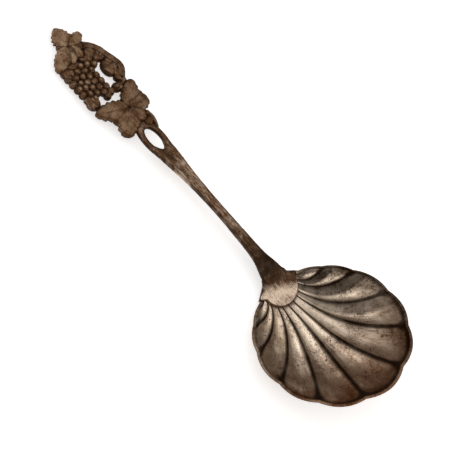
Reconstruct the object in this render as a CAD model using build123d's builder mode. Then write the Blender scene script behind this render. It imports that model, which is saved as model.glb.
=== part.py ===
"""Sugar spoon: fluted shell bowl, arched stem with a pierced eye, grape-and-vine terminal.

The spoon lies as it rests on a table, +X towards the bowl, +Z up, in millimetres.
It stands on the small worn flat under the bowl and on the end of the handle.
"""
from build123d import *
import os
from math import cos, hypot, pi, radians, sin, sqrt, tan

os.makedirs("parts", exist_ok=True)

# Bowl, measured in the plane of its rim from the centre of the rim circle
RIM_RADIUS = 23.65  # outer circle through the notches between the scallops
SCALLOP = 1.15  # how far the widest scallop swells past that circle
RIM_WIDTH = 1.1  # flat lip round the bowl
WALL = 1.0  # thickness of the struck shell
BOWL_DEPTH = 4.2  # depth of the ridges at the centre, below the rim
DISH_POWER = 2.8  # 2 is a parabola, more is flatter in the middle and steeper at the rim
FLUTE_RATIO = 0.17  # hollow of a flute as a share of its width
RIM_TILT = 16.35  # lean of the rim towards the handle when the spoon lies at rest
REST_FLAT = 0.14  # metal worn away under the lowest flute
RIDGE_RIM_ANGLES = (20.0, 55.5, 87.6, 118.0, 141.2)  # where the ridges meet the rim, from the far end
SHOULDER_ANGLE = 160.0  # where the last flute ends and the ear covers the rim
RIDGE_LEAVE_ANGLES = (1.3, 9.7, 17.9, 27.4, 26.2)  # direction of each ridge as it leaves the tongue
RIDGE_REACH = 0.46  # how far a ridge keeps that direction, as a share of its length

# Root of the bowl: the sloping pad and the tongue of the handle that laps on it
PAD_SLOPE = 30.0  # fall of the pad into the bowl, from the rim plane
PAD_EDGE = 21.9  # distance from the rim centre to where the pad crosses the rim plane
TAB_SETBACK = 0.6  # centre of the half-round tongue, up the pad from that crossing
TAB_RADIUS = 6.5  # half-round line where the ridges start
RIDGE_TAB_ANGLES = (9.2, 27.5, 40.3, 60.5, 73.0, 84.0)  # ridge starts and shoulder on that line
ROOT_RUN = 3.2  # length of pad behind the crossing
ROOT_HALF_WIDTH = 4.2  # half the width of the pad at its back edge
TONGUE_MARGIN = 0.12  # pad left bare round the tongue
TONGUE_THICKNESS = 1.1
EAR_SPAN = 7.3  # half the width over the two ears of the tongue
EAR_LENGTH = 1.9  # half the length of the ears along the stem

# Stem, followed from the pad towards the tip
ROOT_BEND_RADIUS = 60.0  # where the stem leaves the bowl
ROOT_BEND_ANGLE = 12.0
STEM_ARCH_RADIUS = 400.0  # long gentle arch of the stem
STEM_ARCH_ANGLE = 6.1
TERMINAL_LENGTH = 45.0  # straight run from the arch to the tip
STEM_LIFT = 0.15  # the stem clears the pad by this, only the tongue lies on it
STEM_RUN_IN = 3.4  # how far the stem's buried end lies over the pad
STEM_RUN_IN_SIZE = (6.2, 0.8)  # width and thickness of that end
STEM_STATIONS = (  # distance from the root, width, thickness
    (0.0, 7.6, 1.7),
    (8.0, 4.5, 2.3),
    (18.0, 3.5, 2.5),
    (29.0, 3.3, 2.4),
    (39.0, 4.2, 2.1),
    (49.0, 6.2, 1.8),
    (53.0, 6.6, 1.3),
)
STEM_ROUNDING = 0.4  # corner radius as a share of the thickness

# Terminal, laid out on its flat back: u from the tip towards the bowl, v across
PLATE_THICKNESS = 1.5
EYE_CENTRE = 45.3
EYE_LENGTH = 8.2
EYE_WIDTH = 3.6
EYE_RING_LENGTH = 17.0
EYE_RING_WIDTH = 7.2
LEAF_THICKNESS = 0.55
LEAF_SWELL = 0.95  # how high the middle of a lobe stands over the leaf's edge
LEAF_MARGIN = 0.35  # the leaf's teeth stand past the plate by this
HEART_RADIUS = 2.6  # plate under the heart of a leaf, where its lobes meet
TOOTH_DEPTH = 0.2  # notch between two teeth, as a share of the lobe's half-width
TOOTH_COUNT = 6  # teeth on each side of a lobe
LOBE_START = 0.15  # share of the half wave that is cut off at the heart, so a lobe starts wide
SWELL_PLACE = 0.5  # middle of a lobe's swelling, along the lobe
SWELL_LENGTH = 0.86  # length of the swelling, as a share of the lobe's
SWELL_WIDTH = 0.74  # width of the swelling, as a share of the lobe's
TIP_LEAF_HEART = (7.2, -0.6)
TIP_LEAF_LOBES = (  # direction, length, half-width, sharpness: less is a rounder end
    (174.0, 7.3, 3.3, 0.8),
    (100.0, 6.4, 2.2, 0.35),
    (16.0, 5.7, 2.2, 0.6),
    (-24.0, 6.0, 2.4, 0.6),
    (-61.0, 9.1, 2.9, 0.5),
)
BASE_LEAF_HEART = (33.3, 0.6)
BASE_LEAF_LOBES = (
    (134.0, 9.6, 3.2, 0.5),
    (81.0, 7.0, 3.2, 0.35),
    (14.0, 6.2, 2.5, 0.5),
    (-46.0, 9.5, 3.9, 0.45),
    (-117.0, 10.8, 3.5, 0.6),
)
GRAPE_DIAMETER = 2.1
GRAPE_SPACING = 2.16
GRAPE_HEIGHT = 1.35
BACKING_MARGIN = 0.2  # plate seen past the branch, tendril and curled leaf
BUNCH_MARGIN = 0.03  # overlap of the discs under the grapes, so no gap is left among three
BUNCH_CORNER = (12.82, -7.5)  # first place of the first row
GRAPE_ROWS = (  # half spacings before the first grape, number of grapes
    (2, 6),
    (1, 6),
    (2, 5),
    (1, 7),
    (2, 6),
    (1, 2),
    (2, 1),
)
LINKS = (  # discs of plate that join the bunch, leaves, branch and tendril: u, v, radius
    (11.8, -3.4, 2.3),
    (12.3, 1.1, 2.1),
    (12.4, 3.6, 2.0),
    (13.1, -6.9, 1.7),
    (15.1, 5.1, 1.9),
    (25.5, -6.9, 2.2),
    (25.5, 5.6, 1.1),
    (25.9, 2.4, 1.6),
    (26.6, 3.9, 1.8),
    (37.8, 3.9, 1.1),
    (40.0, 2.7, 1.7),
)
BRANCH_START = (9.8, 3.7)
BRANCH_HEADING = 50.0
BRANCH_BEND_RADIUS = 8.5
BRANCH_BEND_ANGLE = 36.0
BRANCH_RUN = 5.8
BRANCH_HOOK_RADIUS = 3.2
BRANCH_HOOK_ANGLE = 58.0
BRANCH_TAIL = 2.2
BRANCH_WIDTH = 2.4
BRANCH_HEIGHT = 1.3
CURL_CENTRE = (19.7, 4.5)
CURL_LENGTH = 5.4
CURL_WIDTH = 3.5
CURL_ANGLE = -4.0
CURL_HEIGHT = 1.5
TENDRIL_START = (42.8, 3.1)
TENDRIL_HEADING = 145.0
TENDRIL_RADIUS = 6.5
TENDRIL_SWEEP = 46.0
TENDRIL_WIDTH = 1.2
TENDRIL_HEIGHT = 0.9


def dish(x, y):
    """Height of the ridges under a point of the rim plane: a bowl of revolution, 0 at the lip."""
    share = min(hypot(x, y) / (RIM_RADIUS - RIM_WIDTH), 1.0)
    return -BOWL_DEPTH * (1 - share**DISH_POWER)


def dish_outward(x, y):
    """Unit normal of that bowl, pointing out of the metal, down and away from the middle."""
    lip = RIM_RADIUS - RIM_WIDTH
    radius = hypot(x, y)
    share = min(radius / lip, 1.0)
    slope = BOWL_DEPTH * DISH_POWER * share ** (DISH_POWER - 1) / lip
    return Vector(slope * x / radius, slope * y / radius, -1).normalized()


def cubic_through(points):
    """Control points of the cubic curve through four points, at 0, 1/3, 2/3 and 1."""
    first, second, third, last = points
    near = (first * -5 + second * 18 - third * 9 + last * 2) / 6
    far = (first * 2 - second * 9 + third * 18 - last * 5) / 6
    return [first, near, far, last]


def on_curve(controls, t):
    """Point of a cubic curve."""
    weights = ((1 - t) ** 3, 3 * t * (1 - t) ** 2, 3 * t**2 * (1 - t), t**3)
    return sum((point * weight for point, weight in zip(controls, weights)), Vector())


# Pad plane in the bowl's own frame: local x runs down into the bowl
pad_local = Plane(
    origin=(-PAD_EDGE, 0, 0),
    x_dir=(cos(radians(PAD_SLOPE)), 0, -sin(radians(PAD_SLOPE))),
    z_dir=(sin(radians(PAD_SLOPE)), 0, cos(radians(PAD_SLOPE))),
)


def tab_point(angle, drop=0.0):
    """Point of the half-round line on the pad, or of the same line under the pad."""
    along = TAB_RADIUS * cos(radians(angle)) - TAB_SETBACK
    across = TAB_RADIUS * sin(radians(angle))
    return pad_local.from_local_coords(Vector(along, across, -drop))


def rim_point(angle, radius):
    """Point of the rim plane."""
    return Vector(radius * cos(radians(angle)), radius * sin(radians(angle)), 0)


def shoulder_point(radius, side):
    """End of the rim, where it runs into the pad's plane."""
    flat = rim_point(side * SHOULDER_ANGLE, radius)
    return Vector(flat.X, flat.Y, -tan(radians(PAD_SLOPE)) * (flat.X + PAD_EDGE))


def ridge_points(index, side):
    """Inner points of one ridge at 0, 1/3, 2/3 and 1: from the tongue, through the dish, to the lip."""
    start = tab_point(side * RIDGE_TAB_ANGLES[index])
    end = rim_point(side * RIDGE_RIM_ANGLES[index], RIM_RADIUS - RIM_WIDTH)
    reach = RIDGE_REACH * (Vector(end.X, end.Y) - Vector(start.X, start.Y)).length
    heading = radians(side * RIDGE_LEAVE_ANGLES[index])
    knee = Vector(start.X + reach * cos(heading), start.Y + reach * sin(heading))
    points = [start]
    for t in (1 / 3, 2 / 3):
        x = start.X * (1 - t) ** 2 + knee.X * 2 * t * (1 - t) + end.X * t**2
        y = start.Y * (1 - t) ** 2 + knee.Y * 2 * t * (1 - t) + end.Y * t**2
        points.append(Vector(x, y, dish(x, y)))
    return points + [end]


def outside(points, start, end):
    """The same line on the outer face of the shell, between its own two ends."""
    middle = [point + dish_outward(point.X, point.Y) * WALL for point in points[1:3]]
    return [start, *middle, end]


def straight(start, end):
    """Four points evenly along a straight line."""
    return [start + (end - start) * (step / 3) for step in range(4)]


# Ridges in order round the bowl, from the shoulder at -Y to the shoulder at +Y
order = [(i, -1) for i in reversed(range(len(RIDGE_RIM_ANGLES)))]
order += [(i, 1) for i in range(len(RIDGE_RIM_ANGLES))]
inner_ridges = []
outer_ridges = []
tab_angles = []
rim_angles = []
for index, side in order:
    tab_angle = side * RIDGE_TAB_ANGLES[index]
    rim_angle = side * RIDGE_RIM_ANGLES[index]
    points = ridge_points(index, side)
    inner_ridges.append(points)
    outer_ridges.append(outside(points, tab_point(tab_angle, WALL), rim_point(rim_angle, RIM_RADIUS)))
    tab_angles.append(tab_angle)
    rim_angles.append(rim_angle)
for side, place in ((-1, 0), (1, len(order) + 1)):
    tab_angle = side * RIDGE_TAB_ANGLES[-1]
    lip = shoulder_point(RIM_RADIUS - RIM_WIDTH, side)
    edge = shoulder_point(RIM_RADIUS, side)
    inner_ridges.insert(place, straight(tab_point(tab_angle), lip))
    outer_ridges.insert(place, straight(tab_point(tab_angle, WALL), edge))
    tab_angles.insert(place, tab_angle)
    rim_angles.insert(place, side * SHOULDER_ANGLE)


def scallop_swell(left_angle, right_angle):
    """Swelling of one scallop: arcs of one radius, so it grows with the square of the span."""
    return SCALLOP * ((right_angle - left_angle) / (2 * RIDGE_RIM_ANGLES[0])) ** 2


def trough_points(left, right, tab_angle, lip):
    """Inner points along the bottom of a flute: midway between its ridges, sunk by its own hollow."""
    points = [tab_point(tab_angle)]
    for one, other in zip(left[1:3], right[1:3]):
        middle = (one + other) / 2
        sink = FLUTE_RATIO * (one - other).length
        points.append(middle + dish_outward(middle.X, middle.Y) * sink)
    return points + [lip]


def flute_patch(left, trough, right):
    """Control net of one flute: cubic along, quadratic across, through both ridges and the trough."""
    sides = [cubic_through(left), cubic_through(right)]
    bottom = cubic_through(trough)
    pull = [bottom[k] * 2 - (sides[0][k] + sides[1][k]) / 2 for k in range(4)]
    return [[sides[0][k], pull[k], sides[1][k]] for k in range(4)]


inner_nets = []
outer_nets = []
for k in range(len(inner_ridges) - 1):
    tab_middle = (tab_angles[k] + tab_angles[k + 1]) / 2
    rim_middle = (rim_angles[k] + rim_angles[k + 1]) / 2
    edge_radius = RIM_RADIUS + scallop_swell(rim_angles[k], rim_angles[k + 1])
    lip = rim_point(rim_middle, edge_radius - RIM_WIDTH)
    trough = trough_points(inner_ridges[k], inner_ridges[k + 1], tab_middle, lip)
    under = outside(trough, tab_point(tab_middle, WALL), rim_point(rim_middle, edge_radius))
    inner_nets.append(flute_patch(inner_ridges[k], trough, inner_ridges[k + 1]))
    outer_nets.append(flute_patch(outer_ridges[k], under, outer_ridges[k + 1]))
    if k == len(order) // 2:
        keel = cubic_through(under)

# Rest pose: the keel of the middle flute touches the table, and the spoon is centred on its length
tilt_x = Vector(cos(radians(RIM_TILT)), 0, sin(radians(RIM_TILT)))
tilt_z = Vector(-sin(radians(RIM_TILT)), 0, cos(radians(RIM_TILT)))
KEEL_STEPS = 200


def at_rest(point):
    """Turn a point of the bowl's own frame to the lean that it has on the table."""
    return tilt_x * point.X + Vector(0, point.Y, 0) + tilt_z * point.Z


def left_bend(point, heading, radius, angle):
    """End of a bend to the left, drawn in the XZ plane."""
    first = radians(heading)
    last = radians(heading + angle)
    return point + Vector(radius * (sin(last) - sin(first)), 0, radius * (cos(first) - cos(last)))


keel_samples = [at_rest(on_curve(keel, step / KEEL_STEPS)).Z for step in range(KEEL_STEPS)]
rim_height = -min(keel_samples) - REST_FLAT
root_heading = 180 - PAD_SLOPE + RIM_TILT
arch_heading = root_heading + ROOT_BEND_ANGLE
tip_heading = arch_heading + STEM_ARCH_ANGLE
root = at_rest(pad_local.from_local_coords(Vector(-ROOT_RUN, 0, 0)))
bend_end = left_bend(root, root_heading, ROOT_BEND_RADIUS, ROOT_BEND_ANGLE)
arch_end = left_bend(bend_end, arch_heading, STEM_ARCH_RADIUS, STEM_ARCH_ANGLE)
tip_run = Vector(cos(radians(tip_heading)), 0, sin(radians(tip_heading)))
tip = arch_end + tip_run * TERMINAL_LENGTH
far_end = at_rest(rim_point(0, RIM_RADIUS + SCALLOP))
centre = Vector(-(tip.X + far_end.X) / 2, 0, rim_height)

pad_plane = Plane(
    origin=centre + at_rest(pad_local.origin),
    x_dir=at_rest(pad_local.x_dir),
    z_dir=at_rest(pad_local.z_dir),
)
back_plane = Plane(
    origin=centre + tip,
    x_dir=tip_run * -1,
    z_dir=Vector(tip_run.Z, 0, -tip_run.X),
)
top_plane = back_plane.offset(PLATE_THICKNESS)


def placed(point):
    """Point of the bowl's own frame, in the spoon's frame."""
    return centre + at_rest(point)


# Bowl: a closed skin of curved flutes inside and out, the flat lip, and the slab of the root pad
skin = []
for inner, outer in zip(inner_nets, outer_nets):
    inner = [[placed(point) for point in row] for row in inner]
    outer = [[placed(point) for point in row] for row in outer]
    skin.append(Face.make_bezier_surface(inner))
    skin.append(Face.make_bezier_surface(outer))
    skin.append(Face.make_bezier_surface([inner[-1], outer[-1]]))


def root_corner(side, drop):
    """Back corner of the pad, on its upper or its lower face."""
    return placed(pad_local.from_local_coords(Vector(-ROOT_RUN, side * ROOT_HALF_WIDTH, -drop)))


pad_normal = at_rest(pad_local.z_dir)
ears = {}
for side in (-1, 1):
    ears[side] = placed(shoulder_point(RIM_RADIUS, side))
for drop, nets in ((0, inner_nets), (WALL, outer_nets)):
    edges = [Edge.make_bezier(*[placed(point) for point in net[0]]) for net in nets]
    corners = [placed(nets[-1][0][2])]
    if drop == 0:
        corners.append(placed(nets[-1][3][2]))
    corners += [ears[1] - pad_normal * drop, root_corner(1, drop)]
    corners += [root_corner(-1, drop), ears[-1] - pad_normal * drop]
    if drop == 0:
        corners.append(placed(nets[0][3][0]))
    corners.append(placed(nets[0][0][0]))
    edges += [Edge.make_line(a, b) for a, b in zip(corners, corners[1:])]
    skin.append(Face(Wire(edges)))


def flat_face(*corners):
    """Flat face with straight sides."""
    return Face(Wire.make_polygon(corners))


for side in (-1, 1):
    low_ear = ears[side] - pad_normal * WALL
    heel = placed(tab_point(side * RIDGE_TAB_ANGLES[-1], WALL))
    skin.append(flat_face(heel, ears[side], low_ear))
    skin.append(flat_face(ears[side], root_corner(side, 0), root_corner(side, WALL), low_ear))
skin.append(flat_face(*[root_corner(side, drop) for side, drop in ((1, 0), (-1, 0), (-1, WALL), (1, WALL))]))

with BuildPart() as bowl:
    add(Solid(Shell(skin)))
    split(bisect_by=Plane.XY, keep=Keep.TOP)
bowl.part.label = "bowl"
export_step(bowl.part, "parts/bowl.step")


def lobe_frame(heart, direction, reach, height):
    """Place on the terminal at some distance from a leaf's heart, turned along the lobe."""
    u = heart[0] + reach * cos(radians(direction))
    v = heart[1] + reach * sin(radians(direction))
    return top_plane.location * Location((u, v, height), (0, 0, direction))


def lobe_half_width(share, sharpness):
    """Half-width of a lobe along its length, 1 at its widest: half a wave, blunt at the heart."""
    return sin(pi * (LOBE_START + (1 - LOBE_START) * share)) ** sharpness


def draw_toothed_lobe(heart, direction, length, half_width, sharpness):
    """Outline of one lobe, with a row of teeth down each side."""
    steps = 2 * TOOTH_COUNT
    edge = []
    for step in range(steps):
        notch = 1 if step % 2 else 1 - TOOTH_DEPTH
        across = half_width * notch * lobe_half_width(step / steps, sharpness)
        edge.append((length * step / steps, across))
    outline = edge + [(length, 0)] + [(along, -across) for along, across in reversed(edge)]
    with Locations(Location((*heart, 0), (0, 0, direction))):
        with BuildLine(mode=Mode.PRIVATE) as teeth:
            Polyline(*outline, close=True)
        add(make_face(teeth.edges(), mode=Mode.PRIVATE))


def draw_leaf_backing(heart, lobes):
    """Plate under a leaf: one oval for each lobe and a disc under the heart."""
    with Locations(heart):
        Circle(HEART_RADIUS)
    for direction, length, half_width, _ in lobes:
        u = heart[0] + length / 2 * cos(radians(direction))
        v = heart[1] + length / 2 * sin(radians(direction))
        with Locations((u, v)):
            Ellipse(length / 2 - LEAF_MARGIN, half_width - LEAF_MARGIN, rotation=direction)


def draw_branch():
    """Middle line of the vine branch: bend, straight run, hook and tail."""
    heading = (cos(radians(BRANCH_HEADING)), sin(radians(BRANCH_HEADING)))
    bend = JernArc(BRANCH_START, heading, BRANCH_BEND_RADIUS, -BRANCH_BEND_ANGLE)
    run = Line(bend @ 1, bend @ 1 + (bend % 1) * BRANCH_RUN)
    hook = JernArc(run @ 1, run % 1, BRANCH_HOOK_RADIUS, -BRANCH_HOOK_ANGLE)
    Line(hook @ 1, hook @ 1 + (hook % 1) * BRANCH_TAIL)


def draw_tendril():
    """Middle line of the tendril: one arc from the fork to the base leaf."""
    heading = (cos(radians(TENDRIL_HEADING)), sin(radians(TENDRIL_HEADING)))
    JernArc(TENDRIL_START, heading, TENDRIL_RADIUS, TENDRIL_SWEEP)


grape_spots = []
for row, (shift, count) in enumerate(GRAPE_ROWS):
    u = BUNCH_CORNER[0] + shift * GRAPE_SPACING / 2
    v = BUNCH_CORNER[1] + row * GRAPE_SPACING * sqrt(3) / 2
    grape_spots += [(u + k * GRAPE_SPACING, v) for k in range(count)]

# Handle: stem lofted along its arch, tongue on the pad, and the flat pierced end
with BuildLine(Plane.XZ) as spine:
    foot = (centre + root).X, (centre + root).Z
    towards = cos(radians(root_heading)), sin(radians(root_heading))
    bend = JernArc(foot, towards, ROOT_BEND_RADIUS, ROOT_BEND_ANGLE)
    arch = JernArc(bend @ 1, bend % 1, STEM_ARCH_RADIUS, STEM_ARCH_ANGLE)


def stem_section(place, along, width, thickness):
    """Plane of one section of the stem, standing on the stem's lower line."""
    upward = Vector(0, 1, 0).cross(along)
    return Plane(origin=place + upward * (STEM_LIFT + thickness / 2), x_dir=(0, 1, 0), z_dir=along)


with BuildPart() as handle:
    spine_wire = spine.wire()
    buried = spine_wire @ 0 - (spine_wire % 0) * STEM_RUN_IN
    sections = [(buried, spine_wire % 0, *STEM_RUN_IN_SIZE)]
    for distance, width, thickness in STEM_STATIONS:
        place = spine_wire.position_at(distance, PositionMode.LENGTH)
        along = spine_wire.tangent_at(distance, PositionMode.LENGTH)
        sections.append((place, along, width, thickness))
    for place, along, width, thickness in sections:
        with BuildSketch(stem_section(place, along, width, thickness)):
            RectangleRounded(width, thickness, STEM_ROUNDING * thickness)
    loft()
    tongue_radius = TAB_RADIUS - TONGUE_MARGIN
    heel_half_width = ROOT_HALF_WIDTH - TONGUE_MARGIN
    with BuildSketch(pad_plane):
        with Locations((-TAB_SETBACK, 0)):
            Circle(tongue_radius)
            Rectangle(tongue_radius, 2 * tongue_radius, align=(Align.MAX, Align.CENTER), mode=Mode.SUBTRACT)
            Ellipse(EAR_LENGTH, EAR_SPAN)
        with BuildLine():
            Polyline(
                (-TAB_SETBACK, tongue_radius),
                (-ROOT_RUN, heel_half_width),
                (-ROOT_RUN, -heel_half_width),
                (-TAB_SETBACK, -tongue_radius),
                close=True,
            )
        make_face()
    extrude(amount=TONGUE_THICKNESS)
    with BuildSketch(back_plane):
        draw_leaf_backing(TIP_LEAF_HEART, TIP_LEAF_LOBES)
        draw_leaf_backing(BASE_LEAF_HEART, BASE_LEAF_LOBES)
        with Locations(*grape_spots):
            Circle(GRAPE_SPACING / sqrt(3) + BUNCH_MARGIN)
        for u, v, radius in LINKS:
            with Locations((u, v)):
                Circle(radius)
        with Locations(CURL_CENTRE):
            Ellipse(CURL_LENGTH / 2 + BACKING_MARGIN, CURL_WIDTH / 2 + BACKING_MARGIN, rotation=CURL_ANGLE)
        with Locations((EYE_CENTRE, 0)):
            Ellipse(EYE_RING_LENGTH / 2, EYE_RING_WIDTH / 2)
        with BuildLine():
            draw_branch()
        trace(line_width=BRANCH_WIDTH + 2 * BACKING_MARGIN)
        with BuildLine():
            draw_tendril()
        trace(line_width=TENDRIL_WIDTH + 2 * BACKING_MARGIN)
    extrude(amount=PLATE_THICKNESS)
    with BuildSketch(back_plane):
        with Locations((EYE_CENTRE, 0)):
            Ellipse(EYE_LENGTH / 2, EYE_WIDTH / 2)
    extrude(amount=2 * PLATE_THICKNESS, both=True, mode=Mode.SUBTRACT)
handle.part.label = "handle"
export_step(handle.part, "parts/handle.step")


def swelling(place, length, width, height):
    """Oval dome standing on the terminal: the upper half of a stretched ball."""
    ball = Sphere(1, mode=Mode.PRIVATE)
    return place * scale(ball, by=(length / 2, width / 2, height), mode=Mode.PRIVATE)


# Leaves: a toothed plate with one soft swelling on every lobe
leaves = (("base_leaf", BASE_LEAF_HEART, BASE_LEAF_LOBES), ("tip_leaf", TIP_LEAF_HEART, TIP_LEAF_LOBES))
for name, heart, lobes in leaves:
    with BuildPart() as leaf:
        with BuildSketch(top_plane):
            for lobe in lobes:
                draw_toothed_lobe(heart, *lobe)
        extrude(amount=LEAF_THICKNESS)
        for direction, length, half_width, _ in lobes:
            place = lobe_frame(heart, direction, SWELL_PLACE * length, LEAF_THICKNESS)
            add(swelling(place, SWELL_LENGTH * length, 2 * SWELL_WIDTH * half_width, LEAF_SWELL))
        split(bisect_by=top_plane, keep=Keep.TOP)
    leaf.part.label = name
    export_step(leaf.part, f"parts/{name}.step")

# Grapes: separate domes, each on its own place in the bunch
with BuildPart() as grapes:
    for u, v in grape_spots:
        place = top_plane.location * Location((u, v, 0))
        add(swelling(place, GRAPE_DIAMETER, GRAPE_DIAMETER, GRAPE_HEIGHT))
    split(bisect_by=top_plane, keep=Keep.TOP)
grapes.part.label = "grapes"
export_step(grapes.part, "parts/grapes.step")

# Curled leaf: one oval swelling beside the branch
with BuildPart() as curled_leaf:
    place = top_plane.location * Location((*CURL_CENTRE, 0), (0, 0, CURL_ANGLE))
    add(swelling(place, CURL_LENGTH, CURL_WIDTH, CURL_HEIGHT))
    split(bisect_by=top_plane, keep=Keep.TOP)
curled_leaf.part.label = "curled_leaf"
export_step(curled_leaf.part, "parts/curled_leaf.step")


def half_round(route, width, height):
    """Flat-backed rounded section, standing on the terminal at the start of a route."""
    along = route % 0
    across = top_plane.z_dir.cross(along)
    with BuildSketch(Plane(origin=route @ 0, x_dir=across, z_dir=along)) as section:
        Ellipse(width / 2, height)
        Rectangle(width, height, align=(Align.CENTER, Align.MAX), mode=Mode.SUBTRACT)
    return section.sketch


with BuildPart() as vine_branch:
    with BuildLine(top_plane) as branch_route:
        draw_branch()
    section = half_round(branch_route.wire(), BRANCH_WIDTH, BRANCH_HEIGHT)
    sweep(sections=section, path=branch_route.wire())
vine_branch.part.label = "vine_branch"
export_step(vine_branch.part, "parts/vine_branch.step")

with BuildPart() as tendril:
    with BuildLine(top_plane) as tendril_route:
        draw_tendril()
    section = half_round(tendril_route.wire(), TENDRIL_WIDTH, TENDRIL_HEIGHT)
    sweep(sections=section, path=tendril_route.wire())
tendril.part.label = "tendril"
export_step(tendril.part, "parts/tendril.step")
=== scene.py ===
# %% [markdown]
# # A tarnished sugar spoon
# The solids come in first, as a fixed frame. Every surface below is worked out in the same frame, in
# millimetres, and turned to metres when it becomes a mesh. The box of the solids is kept, so that the
# finished looks can be compared with it at the end.

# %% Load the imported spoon
from functools import partial

import bpy
import numpy as np
from mathutils import Matrix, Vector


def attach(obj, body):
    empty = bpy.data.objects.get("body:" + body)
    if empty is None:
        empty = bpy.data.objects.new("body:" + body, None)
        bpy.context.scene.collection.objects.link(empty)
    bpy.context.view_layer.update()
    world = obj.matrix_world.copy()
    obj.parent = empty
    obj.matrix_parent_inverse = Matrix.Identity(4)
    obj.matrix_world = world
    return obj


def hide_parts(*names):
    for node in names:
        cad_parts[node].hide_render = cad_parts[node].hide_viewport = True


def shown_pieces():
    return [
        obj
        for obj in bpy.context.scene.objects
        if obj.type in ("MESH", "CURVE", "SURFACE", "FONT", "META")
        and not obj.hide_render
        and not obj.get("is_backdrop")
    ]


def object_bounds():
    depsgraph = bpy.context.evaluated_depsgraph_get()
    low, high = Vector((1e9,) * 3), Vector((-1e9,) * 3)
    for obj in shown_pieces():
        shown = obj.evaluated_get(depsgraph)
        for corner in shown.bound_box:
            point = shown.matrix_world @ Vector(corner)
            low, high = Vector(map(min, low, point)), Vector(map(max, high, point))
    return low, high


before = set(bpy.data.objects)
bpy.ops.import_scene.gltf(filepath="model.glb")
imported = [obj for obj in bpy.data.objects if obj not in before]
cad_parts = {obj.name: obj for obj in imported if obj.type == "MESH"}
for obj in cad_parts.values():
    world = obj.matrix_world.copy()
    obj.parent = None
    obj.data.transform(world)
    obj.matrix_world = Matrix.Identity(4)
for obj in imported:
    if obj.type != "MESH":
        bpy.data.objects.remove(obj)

MM = 0.001
cad_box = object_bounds()
print("solids:", sorted(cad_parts))

# %% [markdown]
# ## The camera
# The photograph was taken from far away, above the table and a little to one side, with the spoon lying
# slantwise across the picture. A long lens at 1.5 m gives that flat perspective. The three angles were
# fitted to places that can be told in the photograph: the notches of the rim, the eye and the tip.

# %% Camera
AZIMUTH, ELEVATION, ROLL = np.radians((6.374, 65.466, 43.121))
DISTANCE = 1500.0
PIXELS_PER_MM = 3.3378
AIM = (3.491, -2.639)  # middle of the picture, along the picture's own axes
PICTURE = 450

towards = np.array((
    np.sin(AZIMUTH) * np.cos(ELEVATION),
    -np.cos(AZIMUTH) * np.cos(ELEVATION),
    np.sin(ELEVATION),
))
level = np.array((np.cos(AZIMUTH), np.sin(AZIMUTH), 0.0))
rising = np.cross(towards, level)
right = level * np.cos(ROLL) + rising * np.sin(ROLL)
up = rising * np.cos(ROLL) - level * np.sin(ROLL)
eye = (right * AIM[0] + up * AIM[1] + towards * DISTANCE) * MM

lens = bpy.data.cameras.new("camera")
lens.sensor_width = 36.0
lens.lens = lens.sensor_width * DISTANCE * PIXELS_PER_MM / PICTURE
lens.clip_start, lens.clip_end = 0.01, 20.0
camera = bpy.data.objects.new("camera", lens)
turned = np.eye(4)
turned[:3, :3] = np.stack((right, up, towards), axis=1)
turned[:3, 3] = eye
camera.matrix_world = Matrix(turned.tolist())
bpy.context.scene.collection.objects.link(camera)
bpy.context.scene.camera = camera
bpy.context.scene.view_settings.view_transform = "Standard"
print("lens", round(lens.lens, 1), "mm")

# %% [markdown]
# ## Putting arrays into meshes
# A piece here is two arrays: points in millimetres and faces as rows of point numbers. One function makes
# the mesh, shades it smooth except across sharp edges, and hides the solid that the piece stands for. It
# also stores numbers that the finish reads: the one for patina and painted shade is 1 in the black recesses
# and where shade is painted in black, the one for wear and painted sheen is 1 where the brown film is rubbed
# off and where a highlight is painted in, and low where shade is painted in as brown film, amber is 1 where
# old tarnish has turned the metal orange, and across and along are a place on the piece in millimetres, for
# the grain.

# %% Mesh maker
SHARP = np.radians(38.0)


def add_piece(name, points, faces, stands_for, slot, **values_at_points):
    """Closed mesh from points in mm and faces; each further argument is one number for each point."""
    mesh = bpy.data.meshes.new(name)
    mesh.from_pydata((points * MM).tolist(), [], faces)
    mesh.shade_smooth()
    mesh.set_sharp_from_angle(angle=SHARP)
    for label, values in values_at_points.items():
        store = mesh.attributes.new(label, "FLOAT", "POINT")
        store.data.foreach_set("value", np.ascontiguousarray(values, dtype=np.float32))
    piece = bpy.data.objects.new(name, mesh)
    bpy.context.scene.collection.objects.link(piece)
    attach(piece, "root")
    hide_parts(stands_for)
    print(name, len(points), "points", len(faces), "faces")


def ring_faces(columns, rows):
    """Quads of a grid of points whose rows close into a ring: columns side by side, rows going round."""
    start = np.arange(columns - 1)[:, None] * rows
    row = np.arange(rows)[None, :]
    after = (row + 1) % rows
    quads = np.stack((start + row, start + after, start + rows + after, start + rows + row), axis=-1)
    return quads.reshape(-1, 4)


def strip_across(loop):
    """Faces that close a loop of points: quads between its two sides, from its ends to the turn."""
    half = len(loop) // 2
    there, back = loop[:half], loop[::-1][:half]
    quads = np.stack((there[:-1], there[1:], back[1:], back[:-1]), -1).tolist()
    return quads + ([loop[half - 1 : half + 2].tolist()] if len(loop) % 2 else [])


# %% [markdown]
# ## The fluted bowl
# The bowl was struck from sheet: eleven hollow flutes fan out from a half-round tongue and end in a
# scalloped lip. A sculpted mesh would lose the rhythm of the fan, so each flute is a surface of two
# parameters: one runs along it, from the tongue to the lip, and one across it, from ridge to ridge. The
# sizes are those of the solid. The bowl has a frame of its own, with the rim level and its middle at 0.

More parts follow.
